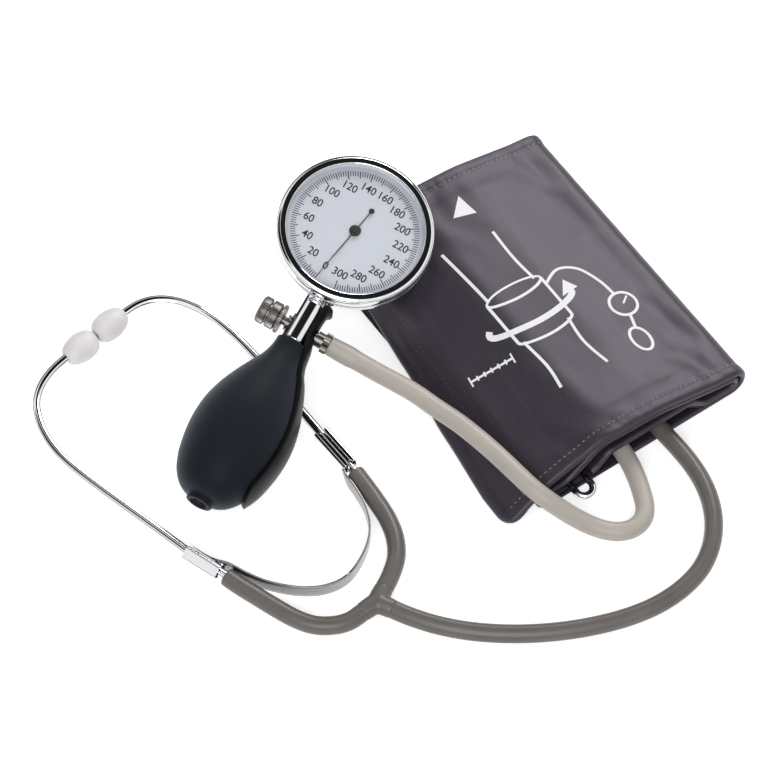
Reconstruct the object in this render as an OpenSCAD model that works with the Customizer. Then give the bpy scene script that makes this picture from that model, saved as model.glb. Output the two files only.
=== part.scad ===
// Arm blood pressure set: a palm gauge with its bulb, a folded cuff and an attached stethoscope,
// laid out as they lie on a table. Z is up, X runs along the cuff's fold, Y runs across its width.

/* [Gauge] */
// Outer diameter of the bezel
bezel_d = 66.6; // [66.2:0.1:67]
// Height of the dial's face above the stem's axis
dial_z = 8; // [7.9:0.1:8.1]
// Diameter of the stem
stem_d = 10.6; // [10.2:0.1:10.8]
// Distance from the gauge's centre to the valve's axis
valve_y = 46.6; // [46:0.1:47.2]
// Diameter of the valve's knob
knob_d = 11.8; // [11:0.1:12.6]
// Largest diameter of the bulb
bulb_d = 40.4; // [38:0.1:40.6]

/* [Gauge movement] */
// Teeth of the pinion on the pointer's staff
pinion_teeth = 10; // [10:1:10]
// Teeth that the toothed sector would have as a full wheel
sector_teeth = 100; // [100:1:100]
// Module of the teeth
tooth_module = 0.2; // [0.2:0.01:0.2]

/* [Hoses] */
// Diameter of the air hose
hose_d = 8.2; // [7.8:0.1:8.3]
// Diameter of the stethoscope's tube
tube_d = 7.7; // [7.4:0.1:7.8]

/* [Cuff] */
// Width of the cuff, across the arm's length
cuff_w = 148; // [144:1:150]
// Thickness of each sheet of cloth
cloth_t = 0.7; // [0.5:0.1:0.8]
// Gap between the two sheets, where the bladder lies
cloth_gap = 1.2; // [1:0.1:1.3]

/* [Headset] */
// Diameter of the ear tubes
ear_tube_d = 4.2; // [4:0.1:4.4]
// Width of the leaf spring's strip
leaf_h = 7.5; // [6:0.5:8]
// Thickness of the leaf spring
leaf_t = 0.8; // [0.6:0.1:0.9]

/* [Hidden] */
$fn = 64;

// Colours as the photograph shows them
chrome = [0.82, 0.83, 0.85];
brass = [0.74, 0.6, 0.33];
black = [0.1, 0.1, 0.11];
nylon = [0.3, 0.28, 0.32];
nylon_dark = [0.2, 0.19, 0.22];
hose_grey = [0.7, 0.68, 0.64];
tube_grey = [0.5, 0.48, 0.46];

// Place of the hand gauge: its stem's axis runs down to the bulb, which lies on the table
hand_pos = [-44.6, 61.7, 34.35];
hand_rot = [8, 12.3, -61.2];
// Running clearance of a shaft in its bore
play = 0.04;
// Clearance between pieces that are put together with a little room
fit = 0.05;

// Gauge, from the outside in
bezel_r = bezel_d / 2;
wall_r = bezel_r - 1.5;
window_r = bezel_r - 3.2;
crystal_r = wall_r - 0.1;
dial_t = 0.6;
dial_seat_z = dial_z - dial_t;
ring_top_z = dial_z + 1.8;
gasket_t = 0.4;
crystal_t = 1.2;
crystal_z = ring_top_z + gasket_t;
bezel_top_z = crystal_z + crystal_t + 0.9;
bezel_low_z = 5.4;
case_r = 29;
back_r = 24;
back_z = -9;
case_floor_z = -7.6;
stem_r = stem_d / 2;
stem_top_y = -26;
stem_end_y = -53;

// Movement
capsule_z = -4.6;
capsule_h = 3;
capsule_r = 9.5;
pin_lift = 1.8;
plate_z = 2.4;
plate_t = 0.8;
bridge_z = 5.9;
bridge_t = 0.6;
gear_z = 4.1;
gear_t = 0.6;
staff_r = 0.5;
shaft_y = 3.5;
shaft_z = 0.7;
shaft_x0 = -7;
shaft_x1 = 14.3;
pinion_r = tooth_module * pinion_teeth / 2;
sector_r = tooth_module * sector_teeth / 2;
gear_gap = pinion_r + sector_r;
sector_pos = [sqrt(gear_gap * gear_gap - shaft_y * shaft_y), shaft_y];
sector_to_pinion = 180 + atan2(shaft_y, sector_pos[0]);
sector_rest = -17;
// Turns the pinion so that its teeth meet the sector's gaps half way round the dial
pinion_phase = 8;
tail_reach = 3.4;
rocker_rest = 15;
// The zero mark lies this far round from straight down, clockwise, and 300 as far the other way
zero_offset = 9.8;
pointer_rest = 270 - zero_offset;
pointer_z = dial_z + 0.7;

// Valve and bulb
knob_x = [8, 10, 14.2, 14.8, 18.8];
spoon_gap = 1.2;
spoon_t = 1.5;
bulb_r = bulb_d / 2;
bulb_wall = 2.2;
bulb_end_y = 132.6;

// Cuff: the sheets follow one path, from the free end over the top, round the right fold,
// along the table, round the left fold and in again. Each point is [x, z, corner radius].
cloth_d = cloth_gap / 2;
sheet_d = cloth_d + cloth_t;
table_z = sheet_d;
arch_lift = 7.55;
top_path = [[-60, table_z + 0.1, 0], [-41, 15.5, 10], [-12, 25, 30], [16, 22.4, 40],
    [44, 15, 40], [59, 12.6, 5.6], [59, table_z, 5.6], [38, table_z, 6]];
flap_from = [top_path[0][0], top_path[0][1]];
flap_to = [top_path[1][0], top_path[1][1]];
inner_path = [[-16, table_z, 5], [-45, table_z, 3.4], [-45, 8.5, 3.4], [-31, 8.5, 8],
    [-14, 21.4, 10], [16, 19.3, 40], [44, 11.9, 40], [55.4, 9.7, 2.65], [55.4, 4.3, 2.65],
    [39.6, 4.3, 5], [31.6, 11.85, 5], [-9.4, 11.85, 5], [-17, 4.4, 3], [-19.4, 4.4, 0]];
rise_from = [inner_path[3][0], inner_path[3][1]];
rise_to = [inner_path[4][0], inner_path[4][1]];
function arch_path(lift) = [[30, table_z + lift, 3], [-8, table_z + lift, 3]];
half_w = cuff_w / 2;
hem_w = 5;
hose_x = -2.2;
tube_x = 16;
pocket_end_y = -56;

// Metal bar ring at the cuff's end
ring_z = 5.15;
ring_x = -22.3;
ring_wire_r = 1.6;
ring_gap = 7.4;
// The ring hangs down a little from the bar that the strap holds
ring_rest = -4;
ring_y = [-77.8, 67];

// Chest piece, in the cuff's pocket
chest_pos = [11, -12, 5.1];
chest_r = 19.5;
chest_h = 6.6;
chest_pipe = [[15.3, -50, 4.8], [12.6, -26, 3.7]];

// Middle line of the air hose, from the gauge's connector to the cuff
hose_route = [[-79.2, 28.9, 24.8], [-76.6, 24.1, 23.6], [-74.1, 19.4, 22.6], [-71.8, 14, 22.2],
    [-69.4, 7.8, 22.2], [-66.2, -0.3, 22.4], [-62.8, -9, 22.4], [-59.6, -20, 22.1],
    [-56, -31, 21.5], [-53.4, -42, 20.8], [-51.4, -53, 20.1], [-50, -63, 19.5],
    [-48.4, -72.5, 18.5], [-45.8, -79, 16.2], [-42.3, -84.6, 12.6], [-38.6, -89.3, 8.8],
    [-34.6, -94, 5.8], [-30.6, -98.6, 4.4], [-25.9, -102.6, 4.2], [-20.2, -104.4, 4.2],
    [-14.4, -103, 4.2], [-10.4, -98.8, 4.2], [-7.6, -92.8, 4.3], [-5.2, -86, 4.6],
    [-3.2, -78, 4.9], [-2.2, -69, 5], [-2.2, -60, 5]];

// Middle line of the stethoscope's tube, from the fork to the chest piece
tube_route = [[-122.8, -79.2, 4.1], [-118.6, -86.6, 4.1], [-112.4, -95.4, 4.1],
    [-104.4, -104.2, 4.1], [-95, -112.4, 4.1], [-84.6, -119.8, 4.1], [-73.2, -126.4, 4.1],
    [-61, -132, 4.1], [-48, -136.4, 4.1], [-35, -138.8, 4.1], [-22, -138.6, 4.1],
    [-10, -135.6, 4.1], [0, -129.6, 4.1], [7.6, -121.6, 4.1], [12.8, -112.6, 4.1],
    [16, -103, 4.1], [17.4, -93.4, 4.1], [17.5, -84, 4.3], [17, -75, 4.6],
    [16.6, -66, 4.8], [16, -58, 4.8], [15.3, -50, 4.8]];

// Middle lines of the two rubber branches, from the fork to the ear tubes' sleeves
left_route = [[-133.4, -73.4, 4.1], [-140, -73.8, 4.1], [-146.4, -71.8, 4.1],
    [-152.8, -67.2, 4.1], [-157.4, -60.4, 4.1], [-161, -52, 4.1], [-164.2, -43.4, 4.2],
    [-167.4, -34.8, 4.4], [-169.6, -28.2, 4.8]];
right_route = [[-120.4, -69.4, 4.1], [-114.2, -65.6, 4.1], [-107.6, -60, 4.1],
    [-102.8, -52.2, 4.1], [-100.2, -43.4, 4.1], [-99.2, -34.4, 4.3], [-98.8, -25.4, 4.6],
    [-98.6, -17.6, 4.8]];
fork_pos = [-126.4, -73, 4.1];

// Middle lines of the ear tubes, from their sleeves to the ear tips
left_ear_route = [[-169.8, -27.8, 5.1], [-172.7, -20, 5.4], [-175.7, -11.6, 5.6], [-180.4, 5, 6],
    [-184.8, 20, 6.4], [-188.8, 34, 6.8], [-192.2, 47, 7.2], [-194, 57, 7.5],
    [-194.1, 66.4, 7.8], [-192.4, 75.4, 8], [-188.8, 83.4, 8.2], [-182.9, 89.4, 8.2],
    [-175.6, 93.2, 8.2], [-167.4, 95.3, 8.2], [-156.1, 96.7, 8.2]];
right_ear_route = [[-98.6, -17, 5.2], [-99, -9, 5.4], [-99.6, 3, 5.7], [-100, 18, 6],
    [-100.4, 34, 6.4], [-100.9, 50, 6.8], [-102.2, 64, 7.2], [-104.6, 76, 7.5],
    [-108.4, 85.6, 7.8], [-113.4, 93.2, 8], [-119.6, 98.2, 8.2], [-126.4, 100.5, 8.2],
    [-134.3, 100.3, 8.2], [-145, 98.5, 8.2]];
left_tip_pos = [-150.9, 97.3, 8.2];
right_tip_pos = [-150.1, 97.7, 8.2];
tip_len = 15.5;
// The leaf spring's strip stands on its edge
leaf_route = [[-172, -11.4], [-169.4, -18.5], [-165.3, -26.8], [-162.4, -34], [-157.4, -42],
    [-149.4, -50.6], [-139.6, -56.4], [-129, -57.2], [-117.6, -51.8], [-109.8, -44.4],
    [-105.4, -35.4], [-103.7, -26], [-103.3, -18.5], [-102.4, -10.5], [-102.7, -3.6]];
leaf_z = 0.8;

function unit(v) = v / norm(v);
function left_of(v) = [-v[1], v[0]];
function turned(v, a) = [v[0] * cos(a) - v[1] * sin(a), v[0] * sin(a) + v[1] * cos(a)];
function flat(p) = [p[0], p[1]];

// Points of one rounded corner b of radius r, between a and c
function corner(a, b, c, r) =
    let (u = unit(a - b), v = unit(c - b), bend = 180 - acos(u * v))
    r <= 0 || bend < 1 ? [b] :
    let (start = b + u * r * tan(bend / 2), side = cross(u, v) < 0 ? 1 : -1,
        centre = start + left_of(-u) * r * side, steps = ceil(bend / 15))
    [for (k = [0 : steps]) centre + turned(start - centre, side * bend * k / steps)];

// A path through [x, y, corner radius] points, with its corners rounded
function rounded(p) = [for (i = [0 : len(p) - 1])
    each i == 0 || i == len(p) - 1 ? [flat(p[i])]
        : corner(flat(p[i - 1]), flat(p[i]), flat(p[i + 1]), p[i][2])];

// The path moved sideways by d, to its left
function beside(p, d) = [for (i = [0 : len(p) - 1])
    let (a = unit(p[max(i, 1)] - p[max(i, 1) - 1]),
        b = unit(p[min(i + 1, len(p) - 1)] - p[min(i, len(p) - 2)]),
        n = left_of(unit(a + b)))
    p[i] + n * d / (n * left_of(a))];
function between(a, b, t) = a + (b - a) * t;
function reversed(p) = [for (i = [len(p) - 1 : -1 : 0]) p[i]];
function band(p, d0, d1) = concat(beside(p, d0), reversed(beside(p, d1)));

// A smooth curve through the points, with n steps between each two
function smooth(p, n) = concat([for (i = [0 : len(p) - 2], k = [0 : n - 1])
    let (a = p[max(i - 1, 0)], b = p[i], c = p[i + 1], d = p[min(i + 2, len(p) - 1)], t = k / n)
    0.5 * (2 * b + (c - a) * t + (2 * a - 5 * b + 4 * c - d) * t * t
        + (3 * b - a - 3 * c + d) * t * t * t)], [p[len(p) - 1]]);

// Length of one ring of points round c, square to d
function ring_points(c, d, r, n) =
    let (s = unit(cross(d, [0, 0, 1])), t = cross(s, d))
    [for (k = [0 : n - 1]) c + r * (cos(360 * k / n) * s + sin(360 * k / n) * t)];

// A round tube swept along a route as one closed solid
module swept(p, r, n = 10) {
    last = len(p) - 1;
    rings = [for (i = [0 : last])
        ring_points(p[i], unit(p[min(i + 1, last)] - p[max(i - 1, 0)]), r, n)];
    sides = [for (i = [0 : last - 1], k = [0 : n - 1])
        let (a = i * n + k, b = i * n + (k + 1) % n)
        each [[a, b, b + n], [a, b + n, a + n]]];
    start_cap = [for (k = [n - 1 : -1 : 0]) k];
    end_cap = [for (k = [0 : n - 1]) last * n + k];
    polyhedron([for (g = rings) each g], concat([start_cap], sides, [end_cap]));
}

// Puts a piece drawn upright at a, with its height running to b
module along(a, b) {
    d = b - a;
    translate(a) rotate([0, acos(d[2] / norm(d)), atan2(d[1], d[0])]) children();
}

// Puts a piece of the hand gauge where the gauge lies
module in_hand() {
    translate(hand_pos) rotate(hand_rot) children();
}

// Turns a piece drawn upright so that its height runs down the stem
module down_stem() {
    rotate([90, 0, 0]) children();
}

// Turns a piece drawn upright so that its height runs out to the knob's side
module to_knob() {
    translate([0, -valve_y, 0]) rotate([0, -90, 0]) children();
}

// Turns a piece drawn upright so that its height runs out to the hose's side
module to_hose() {
    translate([0, -valve_y, 0]) rotate([0, 90, 0]) children();
}

module disc(r, z0, z1) {
    translate([0, 0, z0]) cylinder(r = r, h = z1 - z0);
}

module hollow_disc(r, hole_r, z0, z1) {
    difference() {
        disc(r, z0, z1);
        disc(hole_r, z0 - 1, z1 + 1);
    }
}

// Extrudes an outline in X and Z across the cuff, from y0 to y1
module across(y0, y1) {
    translate([0, y1, 0]) rotate([90, 0, 0]) linear_extrude(y1 - y0) children();
}

// A wheel with straight-sided teeth round its edge
module toothed_edge(root_r, tip_r, root_w, tip_w, pitch_a, count) {
    for (k = [0 : count - 1])
        rotate((k - (count - 1) / 2) * pitch_a)
            polygon([[root_r - 0.1, -root_w / 2], [tip_r, -tip_w / 2], [tip_r, tip_w / 2],
                [root_r - 0.1, root_w / 2]]);
}

module case_shell() color(chrome) in_hand() difference() {
    rotate_extrude() polygon(concat(
        [[0, back_z], [back_r - 1, back_z], [back_r, back_z + 1], [back_r, -6], [case_r - 1.5, -6]],
        corner([case_r - 2, -6], [case_r, -6], [case_r, 0], 1.5),
        [[case_r, 0.4], [wall_r + 0.3, 1.2], [wall_r + 0.3, bezel_low_z - 0.1],
            [wall_r - fit, bezel_low_z - 0.1], [wall_r - fit, dial_seat_z],
            [wall_r - 1.7, dial_seat_z], [wall_r - 1.7, 2.4], [case_r - 1.4, 1],
            [case_r - 1.4, -4.8], [back_r - 1.4, -4.8], [back_r - 1.4, case_floor_z],
            [0, case_floor_z]]));
    down_stem() disc(stem_r + fit, 20, 40);
    for (p = post_places)
        translate([p[0], p[1], 0]) disc(0.75, back_z - 1, 0);
}

module bezel_ring() color(chrome) in_hand() rotate_extrude() polygon(concat(
    [[wall_r, bezel_low_z], [bezel_r - 0.5, bezel_low_z], [bezel_r, bezel_low_z + 0.4],
        [bezel_r, bezel_low_z + 1.2], [bezel_r - 0.6, bezel_low_z + 1.6],
        [bezel_r - 0.6, bezel_low_z + 2.2], [bezel_r, bezel_low_z + 2.6]],
    corner([bezel_r, bezel_low_z + 3], [bezel_r, bezel_top_z], [bezel_r - 4, bezel_top_z], 1.4),
    [[window_r + 0.4, bezel_top_z - 0.1], [window_r, bezel_top_z - 0.5],
        [window_r, crystal_z + crystal_t + fit], [wall_r, crystal_z + crystal_t + fit]]));

module crystal() color([0.85, 0.9, 0.93, 0.25]) in_hand() rotate_extrude()
    polygon([[0, crystal_z], [crystal_r, crystal_z], [crystal_r, crystal_z + crystal_t],
        [0, crystal_z + crystal_t]]);

module crystal_gasket() color(black) in_hand()
    hollow_disc(crystal_r, window_r + 0.2, ring_top_z, crystal_z);

module dial_ring() color(chrome) in_hand() rotate_extrude()
    polygon([[window_r - 0.9, dial_z], [crystal_r, dial_z], [crystal_r, ring_top_z],
        [window_r + 0.1, ring_top_z]]);

module dial_plate() color([0.9, 0.93, 0.96]) in_hand()
    hollow_disc(wall_r - 0.2, 1.5, dial_seat_z, dial_z);

post_places = [[-12.5, -7], [-12.5, 7], [11, -8]];

module pressure_block() color(brass) in_hand() difference() {
    union() {
        translate([-5, -21.6, case_floor_z]) cube([10, 27.6, 2.4]);
        translate([-5, -21.6, case_floor_z]) cube([10, 3, 9.6]);
        translate([-5, stem_top_y + 0.1, -4.7]) cube([10, 5, 6.7]);
        disc(2, case_floor_z + 1, capsule_z);
    }
    down_stem() disc(1.2, 20, 40);
    translate([0, -20.2, 0]) disc(0.8, case_floor_z + 1.2, 0.5);
    translate([0, 0, case_floor_z + 1.2]) down_stem() disc(0.7, -1, 20.5);
    disc(0.7, case_floor_z + 1.2, capsule_z + 1);
}

// The thin corrugated box that swells with the pressure
module capsule() color([0.78, 0.62, 0.42]) in_hand() rotate_extrude() {
    wave = [for (k = [0 : 8]) [2 + k * (capsule_r - 2.8) / 8, k % 2 == 0 ? 0.5 : 0.15]];
    low = [for (p = wave) [p[0], capsule_z + p[1]]];
    high = [for (p = wave) [p[0], capsule_z + capsule_h - p[1]]];
    skin = 0.3;
    polygon(concat([[0.8, capsule_z]], low, [[capsule_r, capsule_z + capsule_h / 2]],
        reversed(high), [[0, capsule_z + capsule_h], [0, capsule_z + capsule_h - skin]],
        [for (p = high) p - [0, skin]], [[capsule_r - 0.6, capsule_z + capsule_h / 2]],
        [for (p = reversed(low)) p + [0, skin]], [[0.8, capsule_z + skin]]));
    // The stud that lifts the rocking shaft's arm is soldered on
    translate([0, capsule_z + capsule_h - 0.1]) square([1.5, 0.45]);
    translate([0, capsule_z + capsule_h]) square([0.4, -0.68 - capsule_z - capsule_h]);
}

module movement_plate() color(brass) in_hand() difference() {
    union() {
        translate([-14, -9.5, plate_z]) cube([26.8, 18.5, plate_t]);
        for (p = post_places)
            translate([p[0], p[1], 0]) disc(1.4, case_floor_z, plate_z + 0.1);
        for (x = [-6, 11.8])
            translate([x, shaft_y - 1.3, shaft_z - 1.2]) cube([1, 2.6, plate_z - shaft_z + 1.3]);
        for (p = pillar_places)
            translate([p[0], p[1], 0]) disc(0.9, plate_z, bridge_z);
    }
    disc(staff_r + play, plate_z - 1, plate_z + 2);
    translate(sector_pos) disc(staff_r + play, plate_z - 1, plate_z + 2);
    translate([0, shaft_y, shaft_z]) rotate([0, 90, 0]) disc(staff_r + play, -10, 14);
    for (p = post_places)
        translate([p[0], p[1], 0]) disc(0.6, case_floor_z - 1, 0);
    for (p = pillar_places)
        translate([p[0], p[1], 0]) disc(0.4, plate_z + 1, bridge_z + 1);
}

pillar_places = [[-8, -6.5], [-8, 6.5], [11.2, -5.5], [10.4, 8]];

module movement_bridge() color(brass) in_hand() difference() {
    translate([-9.4, -8, bridge_z]) cube([22, 17.2, bridge_t]);
    disc(staff_r + play, bridge_z - 1, bridge_z + 1);
    translate(sector_pos) disc(staff_r + play, bridge_z - 1, bridge_z + 1);
    for (p = pillar_places)
        translate([p[0], p[1], 0]) disc(0.45, bridge_z - 1, bridge_z + 1);
}

module bridge_screws() color(chrome) in_hand() for (p = pillar_places)
    translate([p[0], p[1], 0]) difference() {
        union() {
            disc(0.85, bridge_z + bridge_t, bridge_z + bridge_t + 0.5);
            disc(0.38, plate_z + 1.6, bridge_z + bridge_t + 0.1);
        }
        translate([-1, -0.12, bridge_z + bridge_t + 0.25]) cube([2, 0.24, 1]);
    }

module case_screws() color(chrome) in_hand() for (p = post_places)
    translate([p[0], p[1], 0]) difference() {
        union() {
            disc(1.3, back_z - 0.8, back_z);
            disc(0.58, back_z - 0.1, case_floor_z + 4);
        }
        translate([-2, -0.2, back_z - 1]) cube([4, 0.4, 0.6]);
    }

// Cross shaft that turns the stud's lift into a swing: one arm rests on the stud, one pushes the
// sector, and each goes on beyond the shaft as its counterweight
module rocking_shaft() color(chrome) in_hand() translate([0, shaft_y, shaft_z]) {
    rotate([0, 90, 0]) disc(staff_r, shaft_x0, shaft_x1);
    rotate([rocker_rest, 0, 0]) translate([-0.4, -shaft_y - 0.3, -0.25])
        cube([0.8, 2 * shaft_y + 0.6, 0.5]);
    rotate([rocker_rest + 15.4, 0, 0]) translate([13.4, -0.3, -4.3]) cube([0.8, 0.6, 8.6]);
}

module sector_gear() color(brass) in_hand() translate([sector_pos[0], sector_pos[1], 0]) {
    rotate(sector_rest) {
        translate([0, 0, gear_z]) linear_extrude(gear_t) {
            rotate(sector_to_pinion) {
                toothed_edge(sector_r - 0.26, sector_r + 0.14, 0.3, 0.12, 360 / sector_teeth, 14);
                intersection() {
                    difference() {
                        circle(r = sector_r - 0.26);
                        circle(r = sector_r - 1.4);
                    }
                    polygon([[0, 0], [12, -5.8], [12, 5.8]]);
                }
                translate([0, -0.7]) square([sector_r - 1, 1.4]);
            }
            circle(r = 1.5);
            translate([0, -0.4]) square([tail_reach + 0.8, 0.8]);
        }
    }
    disc(staff_r, plate_z + 0.1, bridge_z + bridge_t);
}

module pinion_staff() color(chrome) in_hand() {
    disc(staff_r, plate_z + 0.1, pointer_z + 0.8);
    translate([0, 0, gear_z - 0.2]) linear_extrude(gear_t + 0.4) rotate(sector_to_pinion + 180 + pinion_phase) {
        circle(r = pinion_r - 0.28);
        toothed_edge(pinion_r - 0.28, pinion_r + 0.16, 0.26, 0.1, 360 / pinion_teeth, pinion_teeth);
    }
}

// Flat coil that keeps the gears against one side of their teeth
module hairspring() color([0.75, 0.6, 0.4]) in_hand() {
    coil = [for (a = [0 : 15 : 990]) (1.5 + a / 300) * [cos(a), sin(a)]];
    translate([0, 0, gear_z + gear_t + 0.35]) linear_extrude(0.35) polygon(band(coil, -0.06, 0.06));
}

module pointer() color(black) in_hand() translate([0, 0, pointer_z]) difference() {
    union() {
        disc(2.5, -0.1, 0.6);
        rotate(pointer_rest) linear_extrude(0.35)
            polygon([[-11.4, -0.4], [22, -0.3], [23.8, 0], [22, 0.3], [-11.4, 0.4]]);
        rotate(pointer_rest) translate([-11.4, 0, 0]) disc(1.2, 0, 0.35);
    }
    disc(staff_r, -1, 2);
}

module stem() color(chrome) in_hand() difference() {
    union() {
        down_stem() disc(stem_r, -stem_top_y, -stem_end_y);
        down_stem() disc(4.5, -stem_end_y - 1, 62);
        for (y = [55, 58, 61])
            down_stem() translate([0, 0, y]) cylinder(r1 = 4.5, r2 = 4.9, h = 1);
        to_hose() disc(3.6, 0, 6.2);
    }
    down_stem() disc(1.6, 0, 58);
    down_stem() disc(2.6, 58, 70);
    to_hose() disc(2.4, 0, 9);
    to_knob() disc(2.6, 1.9, 9);
}

module outlet_valve() color(black) in_hand() down_stem() difference() {
    disc(2.55, 58.4, 61);
    translate([0, 0, 59]) cylinder(r = 1.7, h = 3);
    translate([-0.15, -1, 58]) cube([0.3, 2, 4]);
}

module valve_gland() color(chrome) in_hand() to_knob() difference() {
    union() {
        disc(3.4, stem_r + 0.2, stem_r + 0.9);
        disc(2.55, 2, stem_r + 0.3);
    }
    disc(1.9 + play, 3.6, 9);
    disc(1, 1, 9);
}

module valve_needle() color([0.3, 0.28, 0.26]) in_hand() to_knob() {
    disc(1.9, 4.2, knob_x[4] - 6);
    translate([0, 0, 2.4]) cylinder(r1 = 0.3, r2 = 0.9, h = 1.8);
}

// Ring with fine straight ribs round its edge
module ribbed(r, depth, ribs, z0, z1) {
    translate([0, 0, z0]) linear_extrude(z1 - z0)
        polygon([for (k = [0 : 2 * ribs - 1])
            (k % 2 == 0 ? r : r - depth) * [cos(180 * k / ribs), sin(180 * k / ribs)]]);
}

module valve_knob() color(chrome) in_hand() to_knob() {
    knob_r = knob_d / 2;
    difference() {
        union() {
            ribbed(knob_r + 0.4, 0.5, 24, knob_x[0], knob_x[1]);
            disc(knob_r - 0.8, knob_x[1] - 0.1, knob_x[4]);
            ribbed(knob_r, 0.25, 40, knob_x[1] + 0.2, knob_x[2]);
            ribbed(knob_r, 0.25, 40, knob_x[3], knob_x[4] - 0.5);
            translate([0, 0, knob_x[4] - 0.6]) cylinder(r1 = knob_r - 0.4, r2 = knob_r - 0.9, h = 0.6);
        }
        disc(1.9 + play, knob_x[0] - 1, knob_x[4] - 5.9);
    }
}

module hose_connector() color([0.55, 0.54, 0.5]) in_hand() to_hose() difference() {
    union() {
        disc(2.35, 3, 8.2);
        disc(3.3, 7.95, 11.3);
        ribbed(4.4, 0.3, 28, 11.2, 13.8);
        disc(2.4, 13.6, 24);
        for (x = [15, 18, 21])
            translate([0, 0, x]) cylinder(r1 = 2.4, r2 = 2.9, h = 2);
    }
    disc(1.3, 0, 30);
}

// Outline of the bulb: [radius, distance down the stem's axis]
bulb_side = [[5.4, 53.4], [5.4, 58.5], [7.2, 64], [10.8, 70], [14.6, 77], [17.6, 84.6],
    [19.6, 92.4], [20.3, 100.2], [19.9, 108], [18.5, 116], [17, 121], [14.6, 126], [10.8, 130.2],
    [5.6, 132.6]];

module bulb() color([0.15, 0.16, 0.17]) in_hand() down_stem() difference() {
    union() {
        rotate_extrude() polygon(concat([[0, 53.4]], smooth(bulb_side, 3),
            [[0, 132.6]]));
        disc(5.65, 131, bulb_end_y + 2.4);
    }
    rotate_extrude() polygon(concat([[0, 66]],
        smooth([[4.5, 64.6], [8.2, 70], [12.2, 77], [15.3, 84.6], [17.4, 92.4],
            [18.1, 100.2], [17.7, 108], [16.2, 116], [12.6, 123.4], [6, 128]], 3),
        [[0, 128.6]]));
    disc(4.92, 50, 62.1);
    disc(4, 60, 66);
    disc(3.6, 126, bulb_end_y + 3);
}

module intake_valve_body() color(black) in_hand() down_stem() difference() {
    union() {
        disc(3.55, 123, bulb_end_y + 0.8);
        disc(4.4, 123, 125);
    }
    disc(1, 122, 140);
    disc(2.3, 125.2, 129.6);
    translate([0, 0, 129.6]) cylinder(r1 = 2.3, r2 = 1, h = 1.3);
    disc(2.9, bulb_end_y - 1.2, 140);
}

module intake_ball() color(chrome) in_hand() down_stem()
    translate([0, 0, 129.15]) sphere(r = 1.9);

module intake_screen() color([0.5, 0.5, 0.5]) in_hand() down_stem() difference() {
    disc(2.85, bulb_end_y - 1.1, bulb_end_y - 0.7);
    for (x = [-1.5, 0, 1.5], y = [-1.5, 0, 1.5])
        translate([x, y, 0]) disc(0.4, 130, 133);
}

// Bent steel plate: it lies along the stem, steps out, and follows the bulb's side in the palm
module palm_spoon() color(black) in_hand() difference() {
    union() {
        translate([0, 0, -6]) linear_extrude(12)
            polygon(band(rounded([[9.6, -33.6, 0], [7, -37, 4], [7, -54, 8], [8.3, -61, 8],
                [10.6, -66, 0]]), -spoon_t / 2, spoon_t / 2));
        down_stem() rotate([0, 0, -34]) rotate_extrude(angle = 68)
            polygon(band([for (p = smooth(bulb_side, 3)) if (p[1] > 63.5 && p[1] < 126) p],
                -spoon_gap, -spoon_gap - spoon_t));
    }
    to_hose() disc(2.45, 0, 12);
    to_hose() translate([0, 0, -1]) disc(3.65, 0, 7.2);
}

module air_hose() color(hose_grey) swept(hose_route, hose_d / 2);

full_path = concat(top_path, arch_path(0), inner_path);
lifted_path = concat(top_path, arch_path(arch_lift), inner_path);

// The free end isn't square: it lies further in on the far side, where it is rolled more tightly
module flap_cut(in = 0) {
    translate([in, 0, -1]) linear_extrude(20)
        polygon([[-61.4, -56], [-60, -46], [-46.8, 74], [-46.8, 80], [-70, 80], [-70, -56]]);
}

module cuff_cover() color(nylon) difference() {
    across(-half_w, half_w) polygon(band(rounded(full_path), cloth_d, sheet_d));
    for (x = [hose_x, tube_x])
        translate([x - 5.5, -half_w - 1, -1]) cube([11, 8, 6]);
    flap_cut();
}

module cuff_lining() color(nylon_dark) difference() {
    across(-half_w, half_w) polygon(band(rounded(lifted_path), -sheet_d, -cloth_d));
    flap_cut();
}

// Turned-in cloth that closes the two long edges between the sheets
module hem(y0, y1) {
    across(y0, y1) {
        polygon(band(rounded(top_path), -cloth_d, cloth_d));
        polygon(band(rounded(inner_path), -cloth_d, cloth_d));
    }
}

module front_hem() color(nylon_dark) hem(-half_w, -half_w + hem_w);

module back_hem() color(nylon_dark) difference() {
    hem(half_w - hem_w, half_w);
    flap_cut();
}

module bladder() color([0.25, 0.25, 0.26]) across(-48, 62)
    polygon(band(rounded(concat([[-36, 17.2, 0]], [for (i = [2 : 6]) top_path[i]],
        [[-18, table_z, 0]])), -0.45, 0.45));

module bladder_nipple() color([0.25, 0.25, 0.26]) difference() {
    union() {
        translate([hose_x, -42, 0]) disc(7, table_z + 0.45, table_z + 1.6);
        translate([hose_x, -42, 0]) disc(3.4, table_z + 1, 8);
        translate([hose_x, -42, 5]) down_stem() disc(3, 0, 18);
    }
    translate([hose_x, -42, 5]) down_stem() disc(1.6, 0, 20);
    translate([hose_x, -42, 0]) disc(1.6, 0, 5);
}

module hook_patch() color([0.16, 0.16, 0.17]) difference() {
    across(-half_w + 8, half_w - 8)
        polygon(band([between(flap_from, flap_to, 0.22), between(flap_from, flap_to, 0.86)],
            -sheet_d - 1.1, -sheet_d - 0.02));
    flap_cut(1.2);
}

module loop_patch() color([0.2, 0.19, 0.22]) across(-half_w + 8, half_w - 8)
    polygon(band([between(rise_from, rise_to, 0.2), between(rise_from, rise_to, 0.84)],
        sheet_d, sheet_d + 0.8));

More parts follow.
